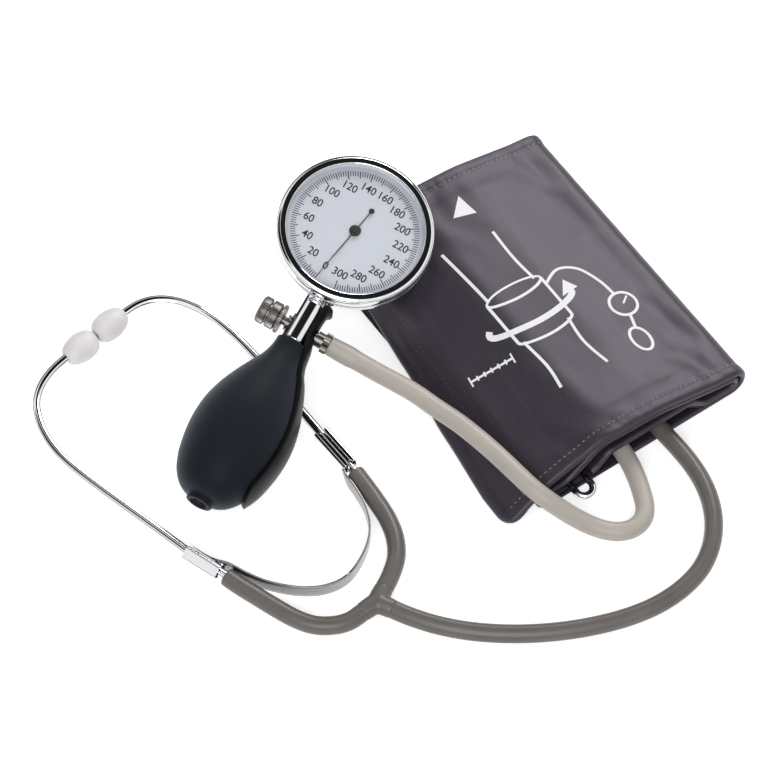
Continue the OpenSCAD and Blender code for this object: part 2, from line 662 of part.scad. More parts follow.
// Cloth strap of the cuff's end, folded back through the ring
module ring_loop() color(nylon_dark) across(-half_w + 6, half_w - 14) difference() {
    union() {
        translate([ring_x, ring_z]) circle(r = ring_wire_r + 0.9);
        polygon([[ring_x, ring_z + 1.7], [ring_x, ring_z + 2.4], [-20.4, 7.2], [-18.3, 6.5],
            [-18.3, 5.72], [-19.4, 5.72], [-20.6, 6.4]]);
    }
    translate([ring_x, ring_z]) circle(r = ring_wire_r + play);
}

module bar_ring() color(chrome) translate([ring_x, 0, ring_z]) rotate([0, ring_rest, 0])
    translate([-ring_x, 0, -ring_z]) {
    for (x = [ring_x, ring_x - ring_gap])
        translate([x, ring_y[1], ring_z]) down_stem() disc(ring_wire_r, 0, ring_y[1] - ring_y[0]);
    for (end = [[ring_y[0], 180], [ring_y[1], 0]])
        translate([ring_x - ring_gap / 2, end[0], ring_z]) rotate([0, 0, end[1]])
            rotate_extrude(angle = 180) translate([ring_gap / 2, 0]) circle(r = ring_wire_r);
}

module chest_cup() color(chrome) translate(chest_pos) difference() {
    union() {
        disc(chest_r, -chest_h / 2, -chest_h / 2 + 3);
        translate([0, 0, -chest_h / 2 + 3]) cylinder(r1 = chest_r, r2 = chest_r - 2, h = 1.6);
    }
    translate([0, 0, -chest_h / 2 + 3.4]) cylinder(r1 = 3, r2 = chest_r - 3.2, h = 1.3);
    translate(-chest_pos) along(chest_pipe[1], chest_pipe[0]) disc(1.8, 0, 20);
    translate(-chest_pos) along(chest_pipe[1], [11, -12, 3.7]) disc(0.9, -1, 15.4);
    disc(1.2, -1.9, 2);
}

module diaphragm() color([0.9, 0.9, 0.88]) translate(chest_pos)
    disc(chest_r - 2.2, chest_h / 2 - 1.9, chest_h / 2 - 1.5);

module diaphragm_ring() color(chrome) translate(chest_pos) rotate_extrude()
    polygon([[chest_r - 3.4, chest_h / 2 - 1.5], [chest_r - 1.9, chest_h / 2 - 1.5],
        [chest_r - 1.9, chest_h / 2 - 1.9], [chest_r - 1.3, chest_h / 2 - 1.5],
        [chest_r - 1.3, chest_h / 2 - 0.6], [chest_r - 3.4, chest_h / 2 - 0.6]]);

module chest_nipple() color(chrome) along(chest_pipe[0], chest_pipe[1])
    hollow_disc(1.75, 0.9, 0, norm(chest_pipe[1] - chest_pipe[0]));

module stethoscope_tube() color(tube_grey) swept(tube_route, tube_d / 2);

// Outline of a many-sided bar, turned a little so that no two bars share a face
function many_sided(r, n, turn) = [for (k = [0 : n - 1])
    r * [cos(360 * k / n + turn), sin(360 * k / n + turn)]];

// Moulded fork where the tube splits in two
module tube_fork() color(tube_grey) {
    translate(fork_pos + [0, 0, -3.2]) linear_extrude(6.4) polygon(many_sided(5.2, 14, 5));
    for (e = [[tube_route[0], 4], [left_route[0], 9], [right_route[0], 15]])
        along(fork_pos, e[0]) linear_extrude(norm(e[0] - fork_pos))
            polygon(many_sided(tube_d / 2 + 0.002 * e[1], 16, e[1]));
}

module left_branch() color(tube_grey) swept(left_route, tube_d / 2);

module right_branch() color(tube_grey) swept(right_route, tube_d / 2);

module leaf_spring() color(chrome) translate([0, 0, leaf_z])
    linear_extrude(leaf_h) polygon(band(smooth(leaf_route, 3), -leaf_t / 2, leaf_t / 2));

// Metal strip folded round the ear tube's end, with its fold on the outer side
module sleeve(a, b, side) along(a, b) difference() {
    union() {
        disc(ear_tube_d / 2 + 0.6, 0, norm(b - a));
        translate([-1.9, min(0, side * 3.8), 0]) cube([3.8, 3.8, norm(b - a)]);
    }
    disc(ear_tube_d / 2 + fit, -1, norm(b - a) + 1);
}

module left_sleeve() color(chrome) sleeve(between(left_ear_route[0], left_ear_route[1], 0.4),
    between(left_ear_route[1], left_ear_route[2], 0.95), 1);

module right_sleeve() color(chrome) sleeve(between(right_ear_route[0], right_ear_route[1], 0.35),
    between(right_ear_route[1], right_ear_route[2], 0.95), -1);

module left_ear_tube() color(chrome) swept(left_ear_route, ear_tube_d / 2);

module right_ear_tube() color(chrome) swept(right_ear_route, ear_tube_d / 2);

// Soft ear tip, drawn with its open end at the origin and its neck upward
module ear_tip() rotate_extrude() polygon(concat([[1.6, 0]],
    smooth([[3.4, 0.2], [5.8, 2], [6.7, 5.2], [6, 8.8], [4.6, 11.4], [4, 13.4], [4.2, tip_len]], 3),
    [[ear_tube_d / 2 + fit, tip_len], [ear_tube_d / 2 + fit, 5], [1.6, 4.6]]));

module left_ear_tip() color("white") along(left_tip_pos, left_ear_route[13]) ear_tip();

module right_ear_tip() color("white") along(right_tip_pos, right_ear_route[12]) ear_tip();

case_shell();
bezel_ring();
crystal();
crystal_gasket();
dial_ring();
dial_plate();
pressure_block();
capsule();
movement_plate();
movement_bridge();
bridge_screws();
case_screws();
rocking_shaft();
sector_gear();
pinion_staff();
hairspring();
pointer();
stem();
outlet_valve();
valve_gland();
valve_needle();
valve_knob();
hose_connector();
palm_spoon();
bulb();
intake_valve_body();
intake_ball();
intake_screen();
air_hose();
cuff_cover();
cuff_lining();
front_hem();
back_hem();
bladder();
bladder_nipple();
hook_patch();
loop_patch();
ring_loop();
bar_ring();
chest_cup();
diaphragm();
diaphragm_ring();
chest_nipple();
stethoscope_tube();
tube_fork();
left_branch();
right_branch();
leaf_spring();
left_sleeve();
right_sleeve();
left_ear_tube();
right_ear_tube();
left_ear_tip();
right_ear_tip();
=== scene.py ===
# %% [markdown]
# A palm gauge, its folded cuff and an attached stethoscope, dressed over the CAD model. The CAD
# gives every place and size. Blender adds what a solid can't: smooth hoses, sewn cloth, print,
# and finishes. Loading comes first, so that each later cell can ask where a part is.

# %% Load the CAD model as the fixed frame
import math

import bmesh
import bpy
import numpy as np
from mathutils import Euler, Matrix, Vector


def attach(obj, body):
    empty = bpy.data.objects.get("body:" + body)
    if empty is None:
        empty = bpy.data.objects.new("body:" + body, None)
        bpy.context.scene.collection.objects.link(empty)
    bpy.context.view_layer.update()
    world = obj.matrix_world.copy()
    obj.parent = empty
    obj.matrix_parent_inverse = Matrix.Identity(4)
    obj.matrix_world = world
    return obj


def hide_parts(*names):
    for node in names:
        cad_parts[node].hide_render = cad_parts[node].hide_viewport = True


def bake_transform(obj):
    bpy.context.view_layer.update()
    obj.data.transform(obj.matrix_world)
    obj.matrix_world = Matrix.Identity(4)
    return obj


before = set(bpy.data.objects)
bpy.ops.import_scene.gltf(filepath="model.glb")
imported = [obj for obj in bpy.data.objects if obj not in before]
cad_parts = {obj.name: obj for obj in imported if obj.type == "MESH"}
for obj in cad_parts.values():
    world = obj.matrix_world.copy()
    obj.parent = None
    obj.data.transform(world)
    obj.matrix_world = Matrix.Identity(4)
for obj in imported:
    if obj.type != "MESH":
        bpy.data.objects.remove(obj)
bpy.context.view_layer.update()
scene = bpy.context.scene

# %% [markdown]
# The camera stands far off with a long lens, because the photograph shows almost no
# perspective: the near and far ends of the set are drawn to one scale. A point between the
# gauge and the cuff is held in the middle of the picture.

# %% Camera
AIM = Vector((-0.062, 0.0095, 0))
TOWARD_CAMERA = Vector((-0.3082, -0.4401, 0.8434))
CAMERA_DISTANCE = 2.0

camera = bpy.data.objects.new("camera", bpy.data.cameras.new("camera"))
scene.collection.objects.link(camera)
camera.location = AIM + CAMERA_DISTANCE * TOWARD_CAMERA
camera.rotation_mode = "QUATERNION"
camera.rotation_quaternion = (-TOWARD_CAMERA).to_track_quat("-Z", "Y")
camera.data.lens = 221.5
camera.data.sensor_width = 36
camera.data.clip_start = 0.1
camera.data.clip_end = 20
scene.camera = camera
print("camera at", [round(x, 3) for x in camera.location])

# %% [markdown]
# Nearly every piece here is a surface that a grid can describe: a tube is a ring moved along a
# route, a turned part is an outline moved round an axis, and a sheet is a row of points moved
# across the cloth. So one function makes a mesh from a grid of points, with a UV map in metres
# that a weave or a brushed finish can follow.

# %% Meshes from grids of points
def put_mesh(name, verts, faces, uvs=None, sharp=40):
    """A new object in the scene, smooth shaded, with creases where faces meet at a steep angle."""
    mesh = bpy.data.meshes.new(name)
    mesh.from_pydata([tuple(v) for v in verts], [], [tuple(int(i) for i in f) for f in faces])
    if uvs is not None:
        layer = mesh.uv_layers.new(name="UVMap")
        loops = np.zeros(len(mesh.loops), int)
        mesh.loops.foreach_get("vertex_index", loops)
        layer.data.foreach_set("uv", np.asarray(uvs, np.float32)[loops].ravel())
    mesh.shade_smooth()
    if sharp:
        mesh.set_sharp_from_angle(angle=math.radians(sharp))
    obj = bpy.data.objects.new(name, mesh)
    scene.collection.objects.link(obj)
    return obj


def grid_faces(rows, cols, closed=False, first=0):
    """Quads of a grid of rows x cols points. A closed grid also joins its last column to its first."""
    r = np.arange(rows - 1)[:, None] * cols
    c = np.arange(cols if closed else cols - 1)[None, :]
    d = (c + 1) % cols
    quads = np.stack([r + c, r + d, r + cols + d, r + cols + c], -1).reshape(-1, 4)
    return quads + first


def grid_uv(across, along):
    """UV places for a grid, in metres, from two arrays that spread over it."""
    return np.stack(np.broadcast_arrays(across, along), -1).reshape(-1, 2)


def put_grid(name, points, uvs=None, sharp=40, closed=False):
    """A mesh from an array of rows x cols points, in metres."""
    points = np.asarray(points)
    rows, cols = points.shape[:2]
    return put_mesh(name, points.reshape(-1, 3), grid_faces(rows, cols, closed), uvs, sharp)


def smooth_route(points, steps):
    """The CAD's own curve through its points (Catmull-Rom), so a hose lies where its solid does."""
    p = np.array(points, float)
    out = []
    for i in range(len(p) - 1):
        a, b, c, d = p[max(i - 1, 0)], p[i], p[i + 1], p[min(i + 2, len(p) - 1)]
        for t in np.arange(steps) / steps:
            out.append(0.5 * (2 * b + (c - a) * t + (2 * a - 5 * b + 4 * c - d) * t**2
                              + (3 * b - a - 3 * c + d) * t**3))
    return np.array(out + [p[-1]])


def arc_lengths(path):
    """How far along the path each of its points is."""
    return np.concatenate([[0], np.cumsum(np.linalg.norm(np.diff(path, axis=0), axis=1))])


def tube(name, path, radius, sides=32, lobes=0.0, round_end=0.0006):
    """A tube along path, in metres. radius is a number or one for each point. Its frame is carried
    along without twisting, so that a ridge on it stays on one side."""
    path = np.array(path, float)
    radius = np.broadcast_to(np.array(radius, float), len(path)).copy()
    for end, step in ((0, 1), (-1, -1)):
        tip = path[end].copy()
        inward = path[end + step] - tip
        inward /= np.linalg.norm(inward)
        places = [tip, tip + inward * round_end * 0.3]
        sizes = [radius[end] - round_end, radius[end] - round_end * 0.3]
        path[end] = tip + inward * round_end
        if end == 0:
            path = np.vstack([places, path])
            radius = np.concatenate([sizes, radius])
        else:
            path = np.vstack([path, places[::-1]])
            radius = np.concatenate([radius, sizes[::-1]])
    way = np.gradient(path, axis=0)
    way /= np.linalg.norm(way, axis=1)[:, None]
    side = np.cross(way[0], (0, 0, 1.0))
    side /= np.linalg.norm(side)
    angle = np.arange(sides) * 2 * math.pi / sides
    rings = []
    for p, w, r in zip(path, way, radius):
        side = side - w * (side @ w)
        side /= np.linalg.norm(side)
        up = np.cross(side, w)
        r = r * (1 + lobes * np.cos(3 * angle + 0.5))
        rings.append(p + r[:, None] * (np.cos(angle)[:, None] * side + np.sin(angle)[:, None] * up))
    rings = np.array(rings)
    along = arc_lengths(path)
    uv = grid_uv(angle[None, :] * radius.mean(), along[:, None])
    faces = [tuple(f) for f in grid_faces(len(path), sides, True)]
    faces += [tuple(range(sides - 1, -1, -1)), tuple(range((len(path) - 1) * sides, len(path) * sides))]
    return put_mesh(name, rings.reshape(-1, 3), faces, uv, 50)


def turned(name, outline, matrix, sides=96, sharp=35):
    """A turned part: outline is (radius, height) in mm, turned round the local Z of matrix."""
    o = np.array(outline, float) / 1000
    angle = np.arange(sides) * 2 * math.pi / sides
    x, y = o[:, :1] * np.cos(angle), o[:, :1] * np.sin(angle)
    z = np.repeat(o[:, 1:], sides, 1)
    points = np.stack([x, y, z], -1).reshape(-1, 3)
    points = points @ np.array(matrix.to_3x3()).T + np.array(matrix.translation)
    along = arc_lengths(o)
    uv = grid_uv(angle[None, :] * o[:, 0].max(), along[:, None])
    obj = put_mesh(name, points, grid_faces(len(o), sides, True), uv, sharp)
    obj.data.flip_normals()
    return obj


def keep_modifiers(obj):
    """Applies the modifiers, so that what rides on a body is the final mesh."""
    shaped_by_modifiers = obj.evaluated_get(bpy.context.evaluated_depsgraph_get())
    shaped = bpy.data.meshes.new_from_object(shaped_by_modifiers)
    obj.modifiers.clear()
    obj.data = shaped
    return obj


def thicken(obj, thickness, bevel=0, segments=2):
    """Gives a surface its thickness, half to each side, and soft edges if bevel is set."""
    solid = obj.modifiers.new("thickness", "SOLIDIFY")
    solid.thickness = thickness
    solid.offset = 0
    if bevel:
        edge = obj.modifiers.new("edge", "BEVEL")
        edge.width = bevel
        edge.segments = segments
        edge.limit_method = "ANGLE"
    return keep_modifiers(obj)


def joined(name, pieces):
    """Puts several meshes into one object and removes their own objects."""
    both = bmesh.new()
    for piece in pieces:
        both.from_mesh(piece.data)
        bpy.data.objects.remove(piece)
    mesh = bpy.data.meshes.new(name)
    both.to_mesh(mesh)
    both.free()
    obj = bpy.data.objects.new(name, mesh)
    scene.collection.objects.link(obj)
    return obj


def mm(points):
    """Millimetres to metres."""
    return np.array(points, float) / 1000


print("grid, tube and turning helpers are ready")

# %% [markdown]
# The hand gauge lies tilted on its bulb. Its pieces are drawn upright, with the dial facing up
# and the stem running down the page, and then one matrix lays them down. It repeats the CAD's
# own place and turns, so that a new piece meets the solids next to it.

# %% Where the hand gauge lies
HAND = Matrix.Translation((-0.0446, 0.0617, 0.03435)) @ Euler(
    (math.radians(8), math.radians(12.3), math.radians(-61.2)), "XYZ").to_matrix().to_4x4()
DOWN_STEM = HAND @ Matrix.Rotation(math.radians(90), 4, "X")


def in_hand(points):
    """Points in mm, as drawn upright, to where the gauge lies, in metres."""
    p = mm(points)
    return p @ np.array(HAND.to_3x3()).T + np.array(HAND.translation)


print("dial faces", [round(x, 2) for x in HAND.to_3x3() @ Vector((0, 0, 1))])

# %% [markdown]
# Finishes share a few effects. Each one is a node group with its own inputs, so that rubber,
# cloth and metal can use it at their own scale. A group puts out only a mask and a height, in
# that order; the shader stays in the material. The first two are the fine grain of moulded
# rubber and the smudges and hairline scratches of metal that is handled.

# %% Shared effects as node groups
class Wiring:
    """Short words for adding and joining nodes in one tree."""

    def __init__(self, tree):
        self.tree = tree

    def node(self, kind, **sockets):
        """Adds a node. A name that the node itself has is set on it, any other is a socket's."""
        made = self.tree.nodes.new("ShaderNode" + kind)
        for key, value in sockets.items():
            if hasattr(made, key):
                setattr(made, key, value)
            else:
                self.join(value, made.inputs[key.replace("_", " ")])
        return made

    def join(self, value, socket):
        if isinstance(value, bpy.types.NodeSocket):
            self.tree.links.new(value, socket)
        else:
            socket.default_value = value

    def math(self, operation, *values):
        made = self.tree.nodes.new("ShaderNodeMath")
        made.operation = operation
        for value, socket in zip(values, made.inputs):
            self.join(value, socket)
        return made.outputs[0]

    def spread(self, value, low=0.0, high=1.0, to_low=0.0, to_high=1.0):
        """Stretches the values from low to high over to_low to to_high and holds the rest."""
        made = self.node("MapRange", Value=value, From_Min=low, From_Max=high, To_Min=to_low, To_Max=to_high)
        return made.outputs[0]


def node_group(name, inputs, outputs):
    """An empty group with its sockets, as (wiring, its inputs, its outputs)."""
    tree = bpy.data.node_groups.new(name, "ShaderNodeTree")
    for key, value in inputs.items():
        socket = tree.interface.new_socket(key, in_out="INPUT", socket_type="NodeSocketFloat")
        socket.default_value = value
    for key in outputs:
        tree.interface.new_socket(key, in_out="OUTPUT", socket_type="NodeSocketFloat")
    given = tree.nodes.new("NodeGroupInput").outputs
    return Wiring(tree), given, tree.nodes.new("NodeGroupOutput").inputs


w, given, out = node_group("moulded_grain", {"Scale": 900, "Mottle scale": 40}, ["Mottle", "Height"])
place = w.node("TexCoord").outputs["Object"]
fine = w.node("TexNoise", Vector=place, Scale=given["Scale"], Detail=3.0, Roughness=0.6)
broad = w.node("TexNoise", Vector=place, Scale=given["Mottle scale"], Detail=4.0, Roughness=0.55)
w.join(fine.outputs["Fac"], out["Height"])
w.join(broad.outputs["Fac"], out["Mottle"])

w, given, out = node_group("handled_metal", {"Smudge scale": 60, "Scratch scale": 900},
                           ["Smudge", "Scratch"])
place = w.node("TexCoord").outputs["Object"]
smudge = w.node("TexNoise", Vector=place, Scale=given["Smudge scale"], Detail=5.0, Roughness=0.62)
stretched = w.node("Mapping", Vector=place, Scale=(1.0, 0.07, 0.3))
scratch = w.node("TexNoise", Vector=stretched.outputs[0], Scale=given["Scratch scale"], Detail=2.0)
w.join(w.spread(smudge.outputs["Fac"], 0.42, 0.72), out["Smudge"])
w.join(w.spread(scratch.outputs["Fac"], 0.6, 0.75), out["Scratch"])
print("grain and metal groups are made")

# %% [markdown]
# A weave is two sets of threads that pass over each other in turn. The group counts threads in
# both directions of the UV map, finds from their parity which set lies on top, and rounds it
# with a sine. Brushed metal is noise that is stretched a long way in one direction.

# %% Weave and brushed lines
w, given, out = node_group("plain_weave", {"Threads per metre": 2200, "Slub": 0.3}, ["Thread", "Height"])
uv = w.node("SeparateXYZ", Vector=w.node("TexCoord").outputs["UV"]).outputs
across, along = (w.math("MULTIPLY", uv[i], given["Threads per metre"]) for i in (0, 1))
parity = w.math("MODULO", w.math("ADD", w.math("FLOOR", across), w.math("FLOOR", along)), 2.0)
over, under = (w.math("SINE", w.math("MULTIPLY", w.math("FRACT", x), math.pi)) for x in (across, along))
# A mix of plain numbers takes its two values at inputs 2 and 3
bump = w.node("Mix", data_type="FLOAT", Factor=w.math("ABSOLUTE", parity))
w.join(over, bump.inputs[2])
w.join(under, bump.inputs[3])
streaks = w.node("Mapping", Vector=w.node("TexCoord").outputs["UV"], Scale=(1.0, 0.02, 1.0))
half_count = w.math("MULTIPLY", given["Threads per metre"], 0.5)
slub = w.node("TexNoise", Vector=streaks.outputs[0], Scale=half_count)
uneven = w.math("MULTIPLY", slub.outputs["Fac"], given["Slub"])
w.join(w.math("ADD", bump.outputs[0], uneven), out["Height"])
w.join(slub.outputs["Fac"], out["Thread"])

w, given, out = node_group("brushed_lines", {"Scale": 4000, "Stretch": 0.02}, ["Line", "Height"])
thin = w.node("CombineXYZ", X=1.0, Y=given["Stretch"], Z=1.0)
drawn_out = w.node("VectorMath", operation="MULTIPLY")
w.join(w.node("TexCoord").outputs["UV"], drawn_out.inputs[0])
w.join(thin.outputs[0], drawn_out.inputs[1])
lines = w.node("TexNoise", Vector=drawn_out.outputs[0], Scale=given["Scale"], Detail=3.0)
w.join(lines.outputs["Fac"], out["Height"])
w.join(w.spread(lines.outputs["Fac"], 0.35, 0.65), out["Line"])
print("groups:", [g.name for g in bpy.data.node_groups])

# %% [markdown]
# Each finish is one Principled material. Plain values sit on the shader's own sockets, and only
# what changes over the surface comes in by a wire: colour between a darker and a lighter tone,
# roughness where it was handled, and a bump for grain or thread.

# %% A maker for finishes
def finish_of(name, effect, sizes, dark, light, rough, bump, plain):
    """A material. sizes are the effect's own two inputs. Its mask mixes dark with light and spreads
    the roughness over rough (low, high), and its height is raised by bump (strength, mm). plain
    holds the shader's own values."""
    material = bpy.data.materials.new(name)
    material.use_nodes = True
    wiring = Wiring(material.node_tree)
    shader = material.node_tree.nodes["Principled BSDF"]
    for key, value in plain.items():
        shader.inputs[key].default_value = value
    group = wiring.node("Group", node_tree=bpy.data.node_groups[effect])
    for socket, value in zip(group.inputs, sizes):
        socket.default_value = value
    mask, height = group.outputs
    ramp = wiring.node("ValToRGB", Fac=mask)
    for stop, position, colour in zip(ramp.color_ramp.elements, (0.3, 0.7), (dark, light)):
        stop.position = position
        stop.color = (*colour, 1)
    wiring.join(ramp.outputs[0], shader.inputs["Base Color"])
    wiring.join(wiring.spread(mask, to_low=rough[0], to_high=rough[1]), shader.inputs["Roughness"])
    if bump:
        raised = wiring.node("Bump", Height=height, Strength=bump[0], Distance=bump[1] / 1000)
        wiring.join(raised.outputs[0], shader.inputs["Normal"])
    return material


print("finish maker is ready")

# %% [markdown]
# Metal first. Chrome plating is a mirror with faint finger marks; the knob's nickel is warmer
# and has fine turned lines; the spring strip is brushed along its length. Brass and steel serve
# the movement behind the dial.

# %% Metals
METAL = {"Metallic": 1.0, "Base Color": (0.86, 0.87, 0.89, 1)}
chrome = finish_of("chrome_plate", "handled_metal", (45, 700), (0.80, 0.81, 0.83), (0.90, 0.905, 0.92),
                   (0.02, 0.07), (0.04, 0.01), METAL)
nickel = finish_of("warm_nickel", "brushed_lines", (5200, 0.03), (0.17, 0.157, 0.15), (0.30, 0.28, 0.268),
                   (0.28, 0.42), (0.2, 0.02), METAL)
dark_nickel = finish_of("dark_nickel", "brushed_lines", (5200, 0.03), (0.11, 0.104, 0.098),
                        (0.24, 0.228, 0.215), (0.2, 0.38), (0.3, 0.02), METAL)
spring_steel = finish_of("spring_steel", "brushed_lines", (3000, 0.01), (0.26, 0.26, 0.264),
                         (0.38, 0.38, 0.387), (0.22, 0.34), (0.12, 0.01), METAL)
steel = finish_of("plain_steel", "handled_metal", (300, 2500), (0.50, 0.50, 0.51), (0.68, 0.68, 0.69),
                  (0.2, 0.4), (0.2, 0.01), METAL)
brass = finish_of("sheet_brass", "handled_metal", (180, 2500), (0.52, 0.37, 0.14), (0.76, 0.60, 0.30),
                  (0.22, 0.42), (0.25, 0.01), METAL)
dark_bronze = finish_of("bronze", "handled_metal", (260, 2500), (0.35, 0.24, 0.13), (0.58, 0.43, 0.25),
                        (0.25, 0.45), (0.2, 0.01), METAL)
print("materials with the metals:", len(bpy.data.materials))

# %% [markdown]
# Then rubber, lacquer and plastic. The bulb is a matt rubber with a bluish bloom, the spoon is
# lacquered black, the air hose is a pale warm grey, and the listening tube is darker and
# shinier. The ear tips are a soft white plastic that lets some light in.

# %% Rubber, lacquer and plastic
bulb_rubber = finish_of("bulb_rubber", "moulded_grain", (1500, 28), (0.0055, 0.0075, 0.0115),
                        (0.0105, 0.0125, 0.0175), (0.46, 0.58), (0.1, 0.04),
                        {"Specular IOR Level": 0.08, "Sheen Weight": 0.2, "Sheen Roughness": 0.5,
                         "Sheen Tint": (0.75, 0.85, 1.0, 1)})
black_rubber = finish_of("black_rubber", "moulded_grain", (2200, 90), (0.012, 0.012, 0.013),
                         (0.025, 0.025, 0.026), (0.45, 0.6), (0.2, 0.03), {"Specular IOR Level": 0.4})
lacquer = finish_of("black_lacquer", "moulded_grain", (700, 60), (0.003, 0.003, 0.0035),
                    (0.006, 0.006, 0.0065), (0.34, 0.46), (0.05, 0.04), {"Specular IOR Level": 0.16})
hose_grey = finish_of("hose_grey", "moulded_grain", (900, 35), (0.455, 0.42, 0.375), (0.53, 0.49, 0.44),
                      (0.32, 0.46), (0.06, 0.05),
                      {"Specular IOR Level": 0.45, "Subsurface Weight": 0.12,
                       "Subsurface Radius": (0.004, 0.003, 0.002), "Subsurface Scale": 0.4})
tube_grey = finish_of("tube_grey", "moulded_grain", (700, 45), (0.125, 0.113, 0.103),
                      (0.165, 0.151, 0.139), (0.24, 0.38), (0.09, 0.06), {"Specular IOR Level": 0.38})
ear_white = finish_of("ear_white", "moulded_grain", (1600, 120), (0.76, 0.735, 0.735),
                      (0.86, 0.835, 0.835), (0.34, 0.5), (0.06, 0.03),
                      {"Subsurface Weight": 0.5, "Subsurface Radius": (0.004, 0.0035, 0.003),
                       "Subsurface Scale": 0.5, "Specular IOR Level": 0.45})
print("materials with rubber and plastic:", len(bpy.data.materials))

# %% [markdown]
# The dial is enamelled sheet in a very pale blue grey, and its print is a thin black ink. The
# window in front is clear glass: its shader lets the lamps' shadow rays through, because light
# that reaches the dial through glass is otherwise lost.

# %% Dial, ink and window
dial_enamel = finish_of("dial_enamel", "moulded_grain", (2500, 25), (0.475, 0.497, 0.55),
                        (0.50, 0.522, 0.575), (0.38, 0.5), (0.03, 0.02), {"Specular IOR Level": 0.35})
dial_edge = finish_of("dial_edge", "moulded_grain", (1800, 50), (0.50, 0.53, 0.60), (0.58, 0.61, 0.68),
                      (0.25, 0.4), (0.04, 0.02), {"Specular IOR Level": 0.5})
ink = finish_of("black_ink", "moulded_grain", (3000, 400), (0.006, 0.006, 0.008), (0.012, 0.012, 0.014),
                (0.4, 0.55), None, {"Specular IOR Level": 0.3})
pointer_paint = finish_of("pointer_paint", "moulded_grain", (2500, 200), (0.008, 0.007, 0.006),
                          (0.02, 0.018, 0.015), (0.25, 0.4), (0.05, 0.02), {"Specular IOR Level": 0.5})
glass = bpy.data.materials.new("window_glass")
glass.use_nodes = True
wiring = Wiring(glass.node_tree)
shader = glass.node_tree.nodes["Principled BSDF"]
for key, value in {"Base Color": (1, 1, 1, 1), "Transmission Weight": 1.0, "IOR": 1.46}.items():
    shader.inputs[key].default_value = value
marks = wiring.node("Group", node_tree=bpy.data.node_groups["handled_metal"])
marks.inputs["Smudge scale"].default_value = 35
wiring.join(wiring.spread(marks.outputs["Smudge"], to_high=0.004), shader.inputs["Roughness"])
shadow_ray = wiring.node("LightPath").outputs["Is Shadow Ray"]
wiring.join(wiring.math("SUBTRACT", 1.0, shadow_ray), shader.inputs["Alpha"])
print("dial finishes are made")

# %% [markdown]
# The cuff is nylon in a dark purple grey. Real nylon shows its threads only close up, so the
# weave is about two threads to the millimetre, and a sheen brightens it where it curves away.
# The lining is the same cloth, darker. Hook and loop tape have a nap instead of a weave.

# %% Cloth, tape and thread
nylon = finish_of("cuff_nylon", "plain_weave", (1700, 0.3), (0.015, 0.012, 0.0185),
                  (0.022, 0.018, 0.0265), (0.36, 0.48), (0.3, 0.07),
                  {"Specular IOR Level": 0.68, "Specular Tint": (0.97, 0.86, 1.0, 1),
                   "Sheen Weight": 0.05, "Sheen Roughness": 0.35, "Sheen Tint": (0.90, 0.80, 1.0, 1)})
lining = finish_of("lining_nylon", "plain_weave", (1700, 0.5), (0.026, 0.023, 0.029),
                   (0.038, 0.034, 0.042), (0.5, 0.65), (0.35, 0.08),
                   {"Specular IOR Level": 0.3, "Sheen Weight": 0.15, "Sheen Roughness": 0.4,
                    "Sheen Tint": (0.85, 0.82, 1.0, 1)})
strap_cloth = finish_of("strap_cloth", "plain_weave", (900, 0.6), (0.010, 0.010, 0.011),
                        (0.022, 0.021, 0.023), (0.5, 0.7), (0.8, 0.25), {"Specular IOR Level": 0.3})
hook_tape = finish_of("hook_tape", "moulded_grain", (1700, 900), (0.008, 0.008, 0.009),
                      (0.030, 0.030, 0.032), (0.35, 0.6), (1.0, 0.5), {"Specular IOR Level": 0.4})
loop_tape = finish_of("loop_tape", "moulded_grain", (900, 500), (0.018, 0.017, 0.021),
                      (0.045, 0.042, 0.050), (0.7, 0.9), (1.0, 0.6),
                      {"Specular IOR Level": 0.2, "Sheen Weight": 0.5, "Sheen Roughness": 0.5})
thread = finish_of("sewing_thread", "moulded_grain", (4000, 1500), (0.32, 0.30, 0.34),
                   (0.50, 0.48, 0.52), (0.5, 0.7), (0.5, 0.05),
                   {"Specular IOR Level": 0.3, "Sheen Weight": 0.3})
dark_thread = finish_of("dark_thread", "moulded_grain", (4000, 1500), (0.07, 0.065, 0.08),
                        (0.14, 0.13, 0.15), (0.5, 0.7), (0.5, 0.05), {"Specular IOR Level": 0.3})
print_white = finish_of("print_white", "plain_weave", (1700, 0.5), (0.84, 0.84, 0.86),
                        (0.92, 0.92, 0.94), (0.4, 0.6), (0.25, 0.08), {"Specular IOR Level": 0.35})
film = finish_of("bladder_rubber", "moulded_grain", (1200, 60), (0.02, 0.02, 0.021),
                 (0.04, 0.04, 0.042), (0.45, 0.6), (0.2, 0.05), {"Specular IOR Level": 0.4})
print("materials:", len(bpy.data.materials))

# %% [markdown]
# The solids whose shapes are already right keep them and get a finish: the turned case, window,
# movement, stem, valve, ring and chest piece. A table of node and finish does it, and it stops
# at once if a name is wrong. A new piece is dressed by one function, which gives it its finish
# and, where one is named, its body.

# %% Finishes for the solids that stay
def dress(obj, material, body=None, replaces=()):
    """Gives a new piece its finish, its body when one is named, and hides the nodes it stands for."""
    obj.data.materials.clear()
    obj.data.materials.append(material)
    if body:
        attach(obj, body)
    if replaces:
        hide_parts(*replaces)


